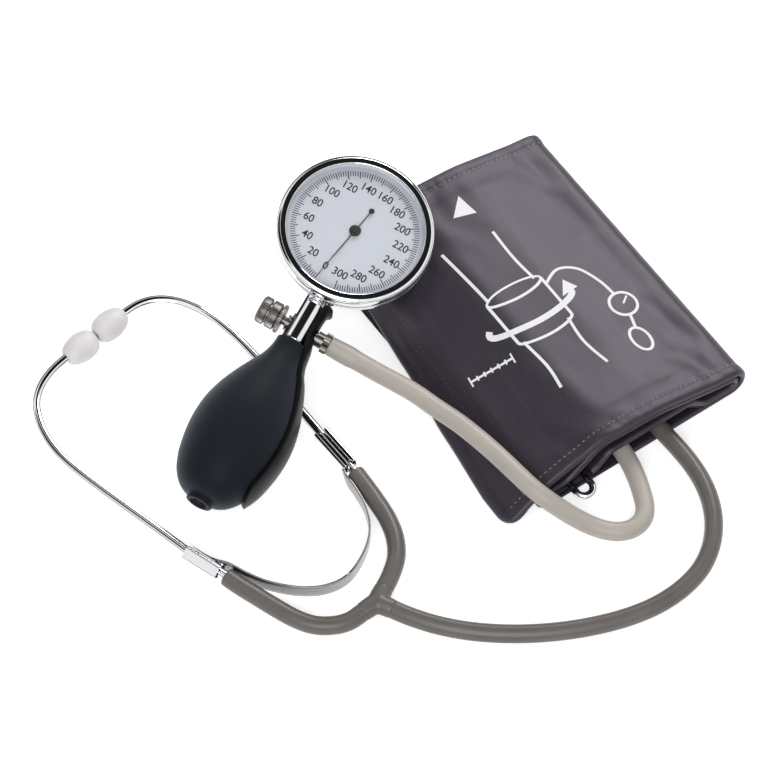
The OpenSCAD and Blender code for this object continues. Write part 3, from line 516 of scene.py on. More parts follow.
FINISHES = {
    chrome: ["case_shell", "stem", "bar_ring", "chest_cup", "diaphragm_ring", "chest_nipple"],
    glass: ["crystal"],
    black_rubber: ["crystal_gasket", "outlet_valve", "intake_valve_body"],
    dial_edge: ["dial_ring", "diaphragm"],
    dial_enamel: ["dial_plate"],
    brass: ["pressure_block", "movement_plate", "movement_bridge", "sector_gear"],
    dark_bronze: ["capsule", "hairspring"],
    steel: ["bridge_screws", "case_screws", "rocking_shaft", "pinion_staff", "intake_ball",
            "intake_screen"],
    dark_nickel: ["valve_needle", "valve_gland", "hose_connector"],
    film: ["bladder_nipple"],
}
for material, names in FINISHES.items():
    for name in names:
        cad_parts[name].data.materials.clear()
        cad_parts[name].data.materials.append(material)
print("solids dressed:", sum(len(n) for n in FINISHES.values()))

# %% [markdown]
# The two long hoses come next, because their routes are part of the size of the whole. The air
# hose swells a little over the connector's barb and then hangs to the table and turns back
# into the cuff. The listening tube has a slightly three-sided section, which gives the long
# narrow highlights that extruded tube shows.

# %% Air hose and listening tube
HOSE_ROUTE = [(-79.2, 28.9, 24.8), (-76.6, 24.1, 23.6), (-74.1, 19.4, 22.6), (-71.8, 14, 22.2),
              (-69.4, 7.8, 22.2), (-66.2, -0.3, 22.4), (-62.8, -9, 22.4), (-59.6, -20, 22.1),
              (-56, -31, 21.5), (-53.4, -42, 20.8), (-51.4, -53, 20.1), (-50, -63, 19.5),
              (-48.4, -72.5, 18.5), (-45.8, -79, 16.2), (-42.3, -84.6, 12.6), (-38.6, -89.3, 8.8),
              (-34.6, -94, 5.8), (-30.6, -98.6, 4.4), (-25.9, -102.6, 4.2), (-20.2, -104.4, 4.2),
              (-14.4, -103, 4.2), (-10.4, -98.8, 4.2), (-7.6, -92.8, 4.3), (-5.2, -86, 4.6),
              (-3.2, -78, 4.9), (-2.2, -69, 5), (-2.2, -60, 5)]
TUBE_ROUTE = [(-122.8, -79.2, 4.1), (-118.6, -86.6, 4.1), (-112.4, -95.4, 4.1), (-104.4, -104.2, 4.1),
              (-95, -112.4, 4.1), (-84.6, -119.8, 4.1), (-73.2, -126.4, 4.1), (-61, -132, 4.1),
              (-48, -136.4, 4.1), (-35, -138.8, 4.1), (-22, -138.6, 4.1), (-10, -135.6, 4.1),
              (0, -129.6, 4.1), (7.6, -121.6, 4.1), (12.8, -112.6, 4.1), (16, -103, 4.1),
              (17.4, -93.4, 4.1), (17.5, -84, 4.3), (17, -75, 4.6), (16.6, -66, 4.8), (16, -58, 4.8),
              (15.3, -50, 4.8)]
# How the hose is stretched over the barb: (mm along it, mm added to its radius)
BARB_GRIP = [(0, 0), (1.5, 0.12), (8.5, 0.34), (10.2, 0.36), (12.4, 0.06), (16, 0)]


hose_path = mm(smooth_route(HOSE_ROUTE, 5))
swell = np.interp(arc_lengths(hose_path) * 1000, *zip(*BARB_GRIP))
air_hose = tube("air_hose_skin", hose_path, mm(4.0 + swell), 36)
dress(air_hose, hose_grey, "set", ["air_hose"])

tube_path = mm(smooth_route(TUBE_ROUTE, 5))
listening_tube = tube("listening_tube", tube_path, 0.00385, 36, lobes=0.022)
dress(listening_tube, tube_grey, "set", ["stethoscope_tube"])

# %% [markdown]
# The tube ends in a moulded fork with two short branches. Moulded rubber has no edges where its
# arms meet, so the fork is joined from three stubs and melted into one skin by a voxel remesh.
# Each branch is a plain tube along its own route and stays where it is laid.

# %% Fork and branches
LEFT_ROUTE = [(-133.4, -73.4, 4.1), (-140, -73.8, 4.1), (-146.4, -71.8, 4.1), (-152.8, -67.2, 4.1),
              (-157.4, -60.4, 4.1), (-161, -52, 4.1), (-164.2, -43.4, 4.2), (-167.4, -34.8, 4.4),
              (-169.6, -28.2, 4.8)]
RIGHT_ROUTE = [(-120.4, -69.4, 4.1), (-114.2, -65.6, 4.1), (-107.6, -60, 4.1), (-102.8, -52.2, 4.1),
               (-100.2, -43.4, 4.1), (-99.2, -34.4, 4.3), (-98.8, -25.4, 4.6), (-98.6, -17.6, 4.8)]
FORK = np.array((-126.4, -73, 4.1))


def melt(obj, voxel, smoothing):
    """Joins overlapping closed shells into one skin and rounds the inner corners."""
    remesh = obj.modifiers.new("melt", "REMESH")
    remesh.mode = "VOXEL"
    remesh.voxel_size = voxel
    remesh.use_smooth_shade = True
    soften = obj.modifiers.new("soften", "SMOOTH")
    soften.factor = 0.5
    soften.iterations = smoothing
    return keep_modifiers(obj)


stubs = []
for end in (TUBE_ROUTE[0], LEFT_ROUTE[0], RIGHT_ROUTE[0]):
    outward = np.array(end) - FORK
    outward /= np.linalg.norm(outward)
    stub = mm([FORK - 1.2 * outward, np.array(end) - 3 * outward, np.array(end) + 0.6 * outward])
    stubs.append(tube(f"fork_stub_{len(stubs)}", stub, mm([4.25, 4.15, 4.0]), 32))
fork = joined("moulded_fork", stubs)
melt(fork, 0.0004, 10)
dress(fork, tube_grey, "set", ["tube_fork"])
print("fork faces:", len(fork.data.polygons))

for side, route in (("left", LEFT_ROUTE), ("right", RIGHT_ROUTE)):
    path = mm(smooth_route(route, 5))
    branch = tube(f"{side}_branch_skin", path, 0.00385, 36, lobes=0.015, round_end=0.0008)
    dress(branch, tube_grey, replaces=[f"{side}_branch"])
    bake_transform(branch)

# %% [markdown]
# The ear tubes are bent chromed tube, and the ends in the branches go a little way into the
# rubber. The soft tips are turned from an outline with a wide belly and a cut-off neck.

# %% Ear tubes and tips
LEFT_EAR = [(-169.8, -27.8, 5.1), (-172.7, -20, 5.4), (-175.7, -11.6, 5.6), (-180.4, 5, 6),
            (-184.8, 20, 6.4), (-188.8, 34, 6.8), (-192.2, 47, 7.2), (-194, 57, 7.5),
            (-194.1, 66.4, 7.8), (-192.4, 75.4, 8), (-188.8, 83.4, 8.2), (-182.9, 89.4, 8.2),
            (-175.6, 93.2, 8.2), (-167.4, 95.3, 8.2), (-156.1, 96.7, 8.2)]
RIGHT_EAR = [(-98.6, -17, 5.2), (-99, -9, 5.4), (-99.6, 3, 5.7), (-100, 18, 6), (-100.4, 34, 6.4),
             (-100.9, 50, 6.8), (-102.2, 64, 7.2), (-104.6, 76, 7.5), (-108.4, 85.6, 7.8),
             (-113.4, 93.2, 8), (-119.6, 98.2, 8.2), (-126.4, 100.5, 8.2), (-134.3, 100.3, 8.2),
             (-145, 98.5, 8.2)]
TIP_OUTLINE = [(1.1, 5.0), (1.15, 0.6), (1.5, 0.15), (2.5, 0.15), (3.7, 0.7), (4.9, 1.9), (5.75, 3.7),
               (6.15, 6.0), (6.15, 8.2), (5.8, 10.4), (5.2, 12.4), (4.4, 14.1), (3.6, 15.1),
               (2.9, 15.5), (2.25, 15.5), (2.15, 14.9)]


def looking_along(a, b):
    """A matrix at a, in mm, whose Z looks to b."""
    way = Vector(b) - Vector(a)
    return Matrix.Translation(mm(a)) @ way.to_track_quat("Z", "Y").to_matrix().to_4x4()


for side, route, tip_at, neck in (("left", LEFT_EAR, (-150.9, 97.3, 8.2), LEFT_EAR[13]),
                                  ("right", RIGHT_EAR, (-150.1, 97.7, 8.2), RIGHT_EAR[12])):
    path = smooth_route(route, 6)
    backward = path[0] - path[1]
    in_branch = path[0] + 3.5 * backward / np.linalg.norm(backward)
    ear_tube = tube(f"{side}_ear_tube_skin", mm(np.vstack([in_branch, path])), 0.0021, 32, round_end=0.0003)
    dress(ear_tube, chrome, f"{side}_ear", [f"{side}_ear_tube"])
    rounded = smooth_route([(r, 0, z) for r, z in TIP_OUTLINE], 4)[:, [0, 2]]
    tip = turned(f"{side}_soft_tip", rounded, looking_along(tip_at, neck), 64, 60)
    dress(tip, ear_white, f"{side}_ear", [f"{side}_ear_tip"])
print("ear tubes and tips are in place")

# %% [markdown]
# Where an ear tube meets the spring, a strip of metal is folded round it and stays open along one
# side. It is a row of rounded rectangles along the tube, each drawn from one lip of the slot to
# the other. Near both ends the lips draw back, which rounds their corners.

# %% Folded sleeves
SLEEVE_HALF = (3.15, 2.75)
SLEEVE_CORNER = 0.9
SLOT_HALF = 0.9
LIP_CORNER = 1.9
SLEEVE_COLUMNS = 61


def rounded_box(half, corner, steps=7):
    """Half sizes and corner radius to a closed line that starts at the middle of the top."""
    line = []
    for k, (sx, sy) in enumerate(((1, 1), (1, -1), (-1, -1), (-1, 1))):
        for a in np.radians(np.linspace(90 - 90 * k, -90 * k, steps)):
            x = sx * (half[0] - corner) + corner * math.cos(a)
            y = sy * (half[1] - corner) + corner * math.sin(a)
            line.append((x, y))
    return np.array([(0.0, half[1])] + line + [(0.0, half[1])])


def folded_sleeve(name, start, end, slot_turn):
    """A sleeve from start to end, in mm. slot_turn is how far its open side is turned from the top."""
    length = float(np.linalg.norm(end - start))
    way = (end - start) / length
    across = np.cross(way, (0, 0, 1.0))
    across /= np.linalg.norm(across)
    up = np.cross(across, way)
    turn = math.radians(slot_turn)
    side = across * math.cos(turn) - up * math.sin(turn)
    top = across * math.sin(turn) + up * math.cos(turn)
    line = rounded_box(SLEEVE_HALF, SLEEVE_CORNER)
    round_it = arc_lengths(line)
    first = LIP_CORNER * (1 - np.cos(np.linspace(0, math.pi / 2, 9)))
    last = length - LIP_CORNER * (1 - np.cos(np.linspace(math.pi / 2, 0, 9)))
    rows = []
    for t in np.concatenate([first, np.linspace(3, length - 3, 12), last]):
        back = np.clip(1 - min(t, length - t) / LIP_CORNER, 0, 1)
        slot = SLOT_HALF + LIP_CORNER * (1 - math.sqrt(1 - back**2))
        at = slot + (round_it[-1] - 2 * slot) * np.linspace(0, 1, SLEEVE_COLUMNS)
        u = np.interp(at, round_it, line[:, 0])
        v = np.interp(at, round_it, line[:, 1])
        rows.append(start + way * t + u[:, None] * side + v[:, None] * top)
    return thicken(put_grid(name, mm(rows)), 0.0006, 0.00012)


for side, route, slot_turn in (("left", LEFT_EAR, 50), ("right", RIGHT_EAR, -4)):
    low, mid, high = (np.array(route[i], float) for i in (0, 1, 2))
    start = low + 0.3 * (mid - low)
    end = mid + 1.2 * (high - mid)
    sleeve = folded_sleeve(f"{side}_sleeve_skin", start, end, slot_turn)
    dress(sleeve, chrome, f"{side}_ear", [f"{side}_sleeve"])
    print(sleeve.name, "is", round(float(np.linalg.norm(end - start)), 1), "mm long")

# %% [markdown]
# The spring is one flat strip on its edge that joins the two ear tubes. It is made in two halves
# that meet at its middle, each a strip along its own part of the line.

# %% Leaf spring
LEAF = [(-172.3, -13.6), (-170.6, -17.8), (-168.4, -21.7), (-165.3, -27.2), (-162.2, -34),
        (-157.4, -42), (-149.4, -50.6), (-139.6, -56.4), (-129, -57.2), (-117.6, -51.8),
        (-109.8, -44.4), (-105.4, -35.4), (-103.7, -26), (-103.2, -18.5), (-101.8, -13.4),
        (-100.8, -9.4)]
MIDDLE_OF_LEAF = 8
STEPS_A_POINT = 6
TONGUE = 8


def strip(name, line, low, high, thick):
    """A flat strip on its edge, along a line in X and Y, in mm, with a narrower tongue at its end."""
    run = arc_lengths(line)
    half = np.interp(run[-1] - run, [0, TONGUE, TONGUE + 4], [0.5, 0.6, 1]) * (high - low) / 2
    middle = (low + high) / 2 + 0.6 * (1 - 2 * half / (high - low))
    heights = middle[:, None] + half[:, None] * np.array([-1, -1 / 3, 1 / 3, 1])[None, :]
    points = np.array([[(x, y, z) for z in heights[i]] for i, (x, y) in enumerate(line)])
    uv = grid_uv(mm(heights), mm(run[:, None]))
    return thicken(put_grid(name, mm(points), uv), mm(thick), 0.00015)


leaf_line = smooth_route([(x, y, 0) for x, y in LEAF], STEPS_A_POINT)[:, :2]
bow = MIDDLE_OF_LEAF * STEPS_A_POINT
for side, part in (("left", leaf_line[:bow + 1][::-1]), ("right", leaf_line[bow:])):
    half = strip(f"leaf_spring_{side}", part, 0.8, 8.3, 0.8)
    dress(half, spring_steel, replaces=["leaf_spring"])
    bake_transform(half)
print("spring strip:", round(float(arc_lengths(leaf_line)[-1])), "mm")

# %% [markdown]
# The bulb is turned from the same outline as its solid, with a rim at the neck and a stubby
# boss that holds the inlet valve. A palm plate of lacquered steel runs down the stem, steps out
# over the hose connector and hugs the bulb: a grid bent round the hand gauge's axis, then given
# thickness and soft edges.

# %% Bulb and palm plate
BULB = [(6.75, 58.5), (8.3, 64), (11.3, 70), (14.6, 77), (17.6, 84.6), (19.6, 92.4), (20.3, 100.2),
        (19.9, 108), (18.5, 116), (17, 121), (14.6, 126), (10.8, 130.2)]
belly = smooth_route([(r, 0, t) for r, t in [(6.4, 53.4), *BULB, (5.6, 132.6)]], 6)[:, [0, 2]]
belly = belly[(belly[:, 1] > 54.6) & ((belly[:, 0] > 7.4) | (belly[:, 1] < 100))]
neck = [(4.6, 55.2), (4.7, 54.4), (5.2, 53.8), (5.9, 53.7), (6.4, 54.0), (6.5, 54.5)]
boss = [(6.5, 131.9), (5.9, 132.3), (5.75, 132.7), (5.75, 133.7), (5.55, 134.2), (5.1, 134.4), (4.2, 134.4),
        (3.9, 134.2), (3.7, 133.7), (3.7, 131)]
bulb = turned("bulb_skin", [*neck, *belly.tolist(), *boss], DOWN_STEM, 128, 60)
dress(bulb, bulb_rubber, "set", ["bulb"])

SPOON_SIDE = [(8.9, 34.2), (8.2, 34.5), (7.2, 35.3), (6.6, 37), (6.4, 40), (6.4, 44), (6.5, 48),
              (7.3, 51), (8.2, 54), (8.7, 57), (9.4, 61), (11.0, 65.4)]
PLATE_COLUMNS = 15
clearance = [2.35, 2.1, 1.8] + [1.7] * (len(BULB) - 6)
beside_bulb = [(r + clear, t) for (r, t), clear in zip(BULB[2:-1], clearance)]
side_line = smooth_route([(x, 0, t) for x, t in SPOON_SIDE + beside_bulb], 6)[:, [0, 2]]
spoon_rows = []
for x, t in side_line:
    end = np.clip((126 - t) / 7, 0, 1)
    spread = math.radians(34 + 12 * np.clip((60 - t) / 12, 0, 1)) * math.sqrt(1 - (1 - end) ** 2)
    around = np.linspace(-1, 1, PLATE_COLUMNS) * max(spread, 0.12)
    down = np.full(PLATE_COLUMNS, -t)
    spoon_rows.append(np.stack([x * np.cos(around), down, x * np.sin(around)], -1))
spoon = thicken(put_grid("palm_plate", in_hand(spoon_rows)), 0.0021, 0.0007, 3)
dress(spoon, lacquer, "set", ["palm_spoon"])
print("bulb and palm plate:", len(bulb.data.polygons), len(spoon.data.polygons), "faces")

# %% [markdown]
# The dial carries plain numbers from 0 to 300 and a tick for every 2. Ink has no thickness to
# speak of, so the marks are flat faces a hair above the enamel. The numbers are text turned
# into mesh, which keeps them sharp at any distance.

# %% Dial print
ZERO_ANGLE = 260.2
SCALE_SWEEP = 340.4
INK_HEIGHT = 8.03
NUMBER_RADIUS = 20.0
NUMBER_SIZE = 4.9
NUMBER_WEIGHT = 0.065
NUMBER_SQUEEZE = 0.94
TICK_END = 27.1


def dial_way(value):
    """The direction of a value on the dial, from its centre."""
    a = math.radians(ZERO_ANGLE - value * SCALE_SWEEP / 300)
    return np.array((math.cos(a), math.sin(a)))


def left_of(way):
    return np.array((-way[1], way[0]))


ink_verts, ink_faces = [], []


def add_flat(points, faces):
    """Adds ink in the shape of those faces."""
    first = len(ink_verts)
    ink_verts.extend((x, y, INK_HEIGHT) for x, y in points)
    ink_faces.extend(tuple(first + i for i in f) for f in faces)


for value in range(0, 301, 2):
    start, half = (23.3, 0.21) if value % 20 == 0 else (23.9, 0.19) if value % 10 == 0 else (24.8, 0.17)
    way = dial_way(value)
    cross = left_of(way) * half
    add_flat([way * start - cross, way * TICK_END - cross, way * TICK_END + cross, way * start + cross],
             [(0, 1, 2, 3)])
for value in range(0, 301, 20):
    text = bpy.data.curves.new("number", "FONT")
    text.body = str(value)
    text.size = NUMBER_SIZE
    text.offset = NUMBER_WEIGHT
    text.align_x = text.align_y = "CENTER"
    holder = bpy.data.objects.new("number", text)
    scene.collection.objects.link(holder)
    drawn = holder.evaluated_get(bpy.context.evaluated_depsgraph_get())
    shape = bpy.data.meshes.new_from_object(drawn)
    x, y = NUMBER_RADIUS * dial_way(value)
    add_flat([(v.co.x * NUMBER_SQUEEZE + x, v.co.y + y) for v in shape.vertices],
             [f.vertices for f in shape.polygons])
    bpy.data.objects.remove(holder)
dial_print = put_mesh("dial_print", in_hand(ink_verts), ink_faces, sharp=0)
dress(dial_print, ink, "set")
print("ticks and numbers:", len(ink_faces), "faces")

# %% [markdown]
# The rim over the window is turned brass, plated. It could keep its solid's shape, but plating
# shows every change of slope, so its outline is drawn finer here: a groove round the side, a
# rounded outer corner that catches a bright line, and a flat top. The top lies parallel to the
# dial, mirrors the dark gap overhead and reads as a black ring.

# %% Rim
rim_side = [(31.8, 5.45), (32.8, 5.45), (33.15, 5.6), (33.3, 5.9), (33.3, 6.6), (33.1, 6.8),
            (32.75, 7.05), (32.7, 7.3), (32.75, 7.55), (33.1, 7.85), (33.3, 8.1), (33.3, 9.9)]
rim_corner = [(31.3 + 2.0 * math.cos(a), 9.9 + 2.2 * math.sin(a)) for a in np.radians(range(8, 73, 8))]
rim_top = [(31.85, 12.04), (31.65, 12.15), (31.45, 12.2), (31.2, 12.22), (29.5, 12.22), (29.3, 12.18),
           (29.15, 12.05), (29.05, 11.8), (29.05, 11.42)]
rim = turned("rim_skin", rim_side + rim_corner + rim_top, HAND, 160, 50)
dress(rim, chrome, "set", ["bezel_ring"])
print("rim:", len(rim.data.polygons), "faces")

# %% [markdown]
# The needle is a hair of black wire with a disc at its tail and a domed hub. The CAD keeps it
# broad enough to build; here it is drawn at its true width and rides on the pointer's shaft.

# %% Pointer
HUB_OUTLINE = [(0.9, 8.62), (2.3, 8.62), (2.5, 8.7), (2.5, 9.1), (2.35, 9.28), (1.9, 9.36), (1.0, 9.4),
               (0.9, 9.75), (0.75, 9.85), (0.0, 9.87)]
TAIL_OUTLINE = [(0, 8.72), (1.15, 8.72), (1.2, 8.77), (1.2, 8.97), (1.15, 9.02), (0, 9.02)]
BLADE = [(-10.6, 0.2), (1.0, 0.24), (14, 0.2), (22.6, 0.15), (24.2, 0.06)]
BLADE_HEIGHTS = (8.78, 8.98)

needle_way = dial_way(0)
needle_side = left_of(needle_way)
hub = turned("hub", HUB_OUTLINE, HAND, 64)
tail = turned("tail", TAIL_OUTLINE, HAND @ Matrix.Translation(mm((*(-11.4 * needle_way), 0))), 40)
edge = [needle_way * t + needle_side * h for t, h in BLADE]
edge += [needle_way * t - needle_side * h for t, h in BLADE[::-1]]
count = len(edge)
blade_points = [(x, y, z) for z in BLADE_HEIGHTS for x, y in edge]
blade_faces = [list(range(count))[::-1], list(range(count, 2 * count))]
blade_faces += [[i, (i + 1) % count, (i + 1) % count + count, i + count] for i in range(count)]
blade = put_mesh("blade", in_hand(blade_points), blade_faces, sharp=30)
pointer = joined("pointer_needle", [hub, tail, blade])
dress(pointer, pointer_paint, "indicator", ["pointer"])
print("pointer:", len(pointer.data.polygons), "faces")

# %% [markdown]
# The valve's knob is two drums with fifty-two fine flutes each, a groove between them and a toothed
# flange behind. The outline is turned like any other, and each row says how deep its teeth are.

# %% Valve knob
# Each row: radius, how far out along the knob's axis, depth of the teeth and their number
KNOB_ROWS = [(2.15, 8.0, 0, 30), (5.5, 8.0, 0, 30), (6.2, 8.25, 0.36, 30), (6.25, 8.5, 0.36, 30),
             (6.25, 9.4, 0.36, 30), (6.05, 9.65, 0.3, 30), (5.0, 9.75, 0, 30), (4.9, 10.1, 0, 52),
             (5.3, 10.2, 0.06, 52), (5.75, 10.5, 0.2, 52), (5.9, 10.8, 0.3, 52), (5.9, 13.6, 0.3, 52),
             (5.75, 13.95, 0.2, 52), (5.3, 14.2, 0.06, 52), (4.7, 14.25, 0, 52), (4.7, 14.75, 0, 52),
             (5.3, 14.8, 0.06, 52), (5.75, 15.1, 0.2, 52), (5.9, 15.4, 0.3, 52), (5.9, 17.6, 0.3, 52),
             (5.7, 18.1, 0.2, 52), (5.3, 18.5, 0.06, 52), (4.9, 18.72, 0, 52), (4.4, 18.8, 0, 52),
             (4.1, 18.7, 0, 52), (0.01, 18.62, 0, 52)]
AROUND = 624
KNOB_AXIS_Y = -46.6

turn = np.arange(AROUND) * 2 * math.pi / AROUND
knob_points = []
for radius, out, depth, teeth in KNOB_ROWS:
    tooth = np.abs(((turn * teeth / (2 * math.pi)) % 1) * 2 - 1)
    r = radius - depth * np.clip(tooth * 1.5 - 0.25, 0, 1)
    row = [np.full(AROUND, -out), KNOB_AXIS_Y + r * np.cos(turn), r * np.sin(turn)]
    knob_points.append(np.stack(row, -1))
outward = np.array([row[1] for row in KNOB_ROWS])
knob_uv = grid_uv(mm(turn * 5.9)[None, :], mm(outward)[:, None])
knob = put_grid("fluted_knob", in_hand(knob_points), knob_uv, 28, closed=True)
dress(knob, nickel, "knob", ["valve_knob"])
print("knob:", len(knob.data.polygons), "faces")

# %% [markdown]
# The cuff is one long double sheet: nylon outside, a darker lining inside, with a turned hem all
# round. It lies folded over twice. A flat pattern moved along one path gives the fold, because
# both sheets keep their distance from it. The path repeats the CAD's, with finer corners.

# %% The path that the folded cuff follows
# Corners of the path: X, Z and how round, in mm
TOP_PATH = [(-60, 1.4, 0), (-41, 15.5, 10), (-12, 25, 30), (16, 22.4, 40), (44, 15, 40),
            (59, 12.6, 5.6), (59, 1.3, 5.6), (38, 1.3, 6)]
INNER_PATH = [(-16, 1.3, 5), (-45, 1.3, 3.4), (-45, 8.5, 3.4), (-31, 8.5, 8), (-14, 21.4, 10),
              (16, 19.3, 40), (44, 11.9, 40), (55.4, 9.7, 2.65), (55.4, 4.3, 2.65), (39.6, 4.3, 5),
              (31.6, 11.85, 5), (-9.4, 11.85, 5), (-17, 4.4, 3), (-19.4, 4.4, 0)]
POCKET_LIFT = 7.55
HALF_WIDTH = 74.0
# How far each layer lies from the path, on the nylon's side, and how thick the two cloths are
NYLON_AT, BLADDER_AT, LINING_AT = 0.95, 0.05, -0.68
NYLON_THICK, LINING_THICK = 0.5, 0.4


def rounded_corners(points, step=5):
    """The path with each corner [x, z, radius] turned into short straight steps."""
    out = []
    for i, (x, z, r) in enumerate(points):
        here = np.array((x, z), float)
        if not 0 < i < len(points) - 1 or r <= 0:
            out.append(here)
            continue
        u = np.array(points[i - 1][:2], float) - here
        v = np.array(points[i + 1][:2], float) - here
        u, v = u / np.linalg.norm(u), v / np.linalg.norm(v)
        bend = math.pi - math.acos(np.clip(u @ v, -1, 1))
        side = 1 if u[0] * v[1] - u[1] * v[0] < 0 else -1
        start = here + u * r * math.tan(bend / 2)
        centre = start + np.array((u[1], -u[0])) * r * side
        steps = max(1, math.ceil(math.degrees(bend) / step))
        for k in range(steps + 1):
            c, s = math.cos(side * bend * k / steps), math.sin(side * bend * k / steps)
            d = start - centre
            out.append(centre + (d[0] * c - d[1] * s, d[0] * s + d[1] * c))
    return np.array(out)


class FoldedSheet:
    """A path in X and Z, and the cloth that lies beside it: s runs along it and y across it, in mm."""

    def __init__(self, lift):
        corners = TOP_PATH + [(30, 1.3 + lift, 3), (-8, 1.3 + lift, 3)] + INNER_PATH
        rough = rounded_corners(corners)
        along = arc_lengths(rough)
        self.length = along[-1]
        self.s = np.linspace(0, self.length, 700)
        centre = np.stack([np.interp(self.s, along, rough[:, i]) for i in (0, 1)], 1)
        soft = centre.copy()
        for _ in range(3):
            soft[1:-1] = (soft[:-2] + 2 * soft[1:-1] + soft[2:]) / 4
        self.centre = soft
        way = np.gradient(soft, axis=0)
        way /= np.linalg.norm(way, axis=1)[:, None]
        self.way = way
        self.side = np.stack([-way[:, 1], way[:, 0]], 1)

    def at(self, s, y, d):
        """Points in mm at s along, y across, and d to the nylon's side of the path."""
        s, y, d = np.broadcast_arrays(np.asarray(s, float), np.asarray(y, float), np.asarray(d, float))
        cx, cz, nx, nz, wx, wz = (np.interp(s, self.s, v)
                                  for v in (*self.centre.T, *self.side.T, *self.way.T))
        before = np.minimum(s, 0)
        return crumple(cx + nx * d + wx * before, y, cz + nz * d + wz * before)

    def along_at_x(self, x):
        """Where the top panel reaches that X."""
        top = self.centre[:int(np.argmax(self.centre[:, 0]))]
        return np.interp(x, top[:, 0], self.s[:len(top)])


def waves(x, y, size, seed):
    """Soft uneven hills of about that size, the same on every run."""
    made = np.random.default_rng(seed)
    total = 0
    for _ in range(6):
        a, f, p = made.uniform(0, math.pi), made.uniform(0.6, 1.5), made.uniform(0, 2 * math.pi)
        total = total + np.sin((x * math.cos(a) + y * math.sin(a)) * f * 2 * math.pi / size + p)
    return total / 6

# %% [markdown]
# Cloth that is sewn round its edge and stuffed never lies flat. To get honest folds, one sheet
# the size of the top panel is simulated: its hems are pinned, the sheet is a little too large for
# them, and slight pressure lifts it. The simulation runs ten times enlarged, because the cloth
# solver is made for clothes. Only its height is kept, and every layer of the cuff is moved by it
# alike, so that the layers stay clear of each other.

# %% Folds of the top panel, by cloth simulation
PANEL = (60.0, 74.0)
PANEL_POINTS = (61, 76)
ENLARGED = 10.0
FRAMES = 25
FOLD_HEIGHT = 0.30
PUCKER_LINE = 4.6


def simulated_folds():
    """Height of the pinned sheet in mm, on a grid over the top panel."""
    x, y = (np.linspace(-half, half, n) for half, n in zip(PANEL, PANEL_POINTS))
    gx, gy = np.meshgrid(x, y, indexing="ij")
    gz = 1.0 * waves(gx, gy, 60, 3) + 0.25 * waves(gx, gy, 16, 5)
    points = np.stack([gx, gy, gz], -1).reshape(-1, 3) / 1000 * ENLARGED
    sheet = put_mesh("simulated_sheet", points, grid_faces(*PANEL_POINTS), sharp=0)
    pins = sheet.vertex_groups.new(name="hem")
    held = (PANEL[1] - np.abs(gy) < 4.7) | (np.abs(gx) > 56)
    pins.add([int(i) for i in np.nonzero(held.ravel())[0]], 1.0, "REPLACE")
    cloth = sheet.modifiers.new("cloth", "CLOTH")
    rules = cloth.settings
    rules.quality = 6
    rules.mass = 0.15
    rules.air_damping = 2
    rules.tension_stiffness = 25
    rules.compression_stiffness = 25
    rules.shear_stiffness = 5
    rules.bending_stiffness = 0.3
    rules.vertex_group_mass = "hem"
    rules.shrink_min = -0.03
    rules.use_pressure = True
    rules.uniform_pressure_force = 0.6
    rules.effector_weights.gravity = 0
    for frame_number in range(1, FRAMES + 1):
        scene.frame_set(frame_number)
    keep_modifiers(sheet)
    height = np.array([v.co.z for v in sheet.data.vertices]).reshape(PANEL_POINTS) * 1000 / ENLARGED
    bpy.data.objects.remove(sheet)
    scene.frame_set(1)
    for _ in range(2):
        height[1:-1] = (height[:-2] + 2 * height[1:-1] + height[2:]) / 4
        height[:, 1:-1] = (height[:, :-2] + 2 * height[:, 1:-1] + height[:, 2:]) / 4
    return x, y, height


fold_x, fold_y, fold_height = simulated_folds()


def fold_at(x, y):
    """The simulated height at places on the panel."""
    u, v = (np.clip((place + half) / (2 * half) * (n - 1), 0, n - 1.001)
            for place, half, n in zip((x, y), PANEL, PANEL_POINTS))
    i, j = u.astype(int), v.astype(int)
    a, b = u - i, v - j
    return (fold_height[i, j] * (1 - a) * (1 - b) + fold_height[i + 1, j] * a * (1 - b)
            + fold_height[i, j + 1] * (1 - a) * b + fold_height[i + 1, j + 1] * a * b)


print(f"folds of the panel, mm: {fold_height.min():.1f} to {fold_height.max():.1f}")


def crumple(x, y, z):
    """Moves every layer of the cuff in the same way: simulated folds over the top, a few broad
    ripples that run in from the hems, and puckers along the stitches."""
    high = np.clip((z - 8) / 9, 0, 1)
    high = high * high * (3 - 2 * high)
    edge = HALF_WIDTH - np.abs(y)
    free = 1 - np.exp(-np.clip(edge, 0, None) / 6)
    near = np.exp(-np.clip(edge, 0, None) / 19) * free * np.where(y < 0, 1.0, 0.6)
    patchy = np.clip(0.5 + 1.1 * waves(x, y * 0.3, 60, 4), 0, 1.3) * np.clip((x + 40) / 40, 0.15, 1)
    slant = x + np.where(y < 0, 0.45, -0.3) * edge
    ripple = np.sin(slant * 2 * math.pi / 17 + 2.2 * waves(x, y, 50, 7)) * patchy
    at_stitches = np.exp(-((edge - PUCKER_LINE) / 2.2) ** 2)
    pucker = np.sin(x * 2 * math.pi / 4.1 + 3 * waves(x, y, 18, 9)) * at_stitches
    panel = np.clip((np.minimum(edge, 30) - 2) / 12, 0, 1) * np.clip((58 - np.abs(x)) / 10, 0, 1)
    across = np.cos(np.clip(y / 80, -1, 1) * math.pi / 2)
    swell = 1.3 * across * np.clip((x + 50) / 40, 0, 1) * np.clip((60 - x) / 20, 0, 1)
    dz = high * (FOLD_HEIGHT * fold_at(x, y) * panel + 1.25 * near * ripple + 0.14 * pucker + swell)
    return np.stack([x, y, z + dz], -1)


outer, inner = FoldedSheet(0), FoldedSheet(POCKET_LIFT)
print("cuff path, mm: outside", round(outer.length), "lining", round(inner.length))

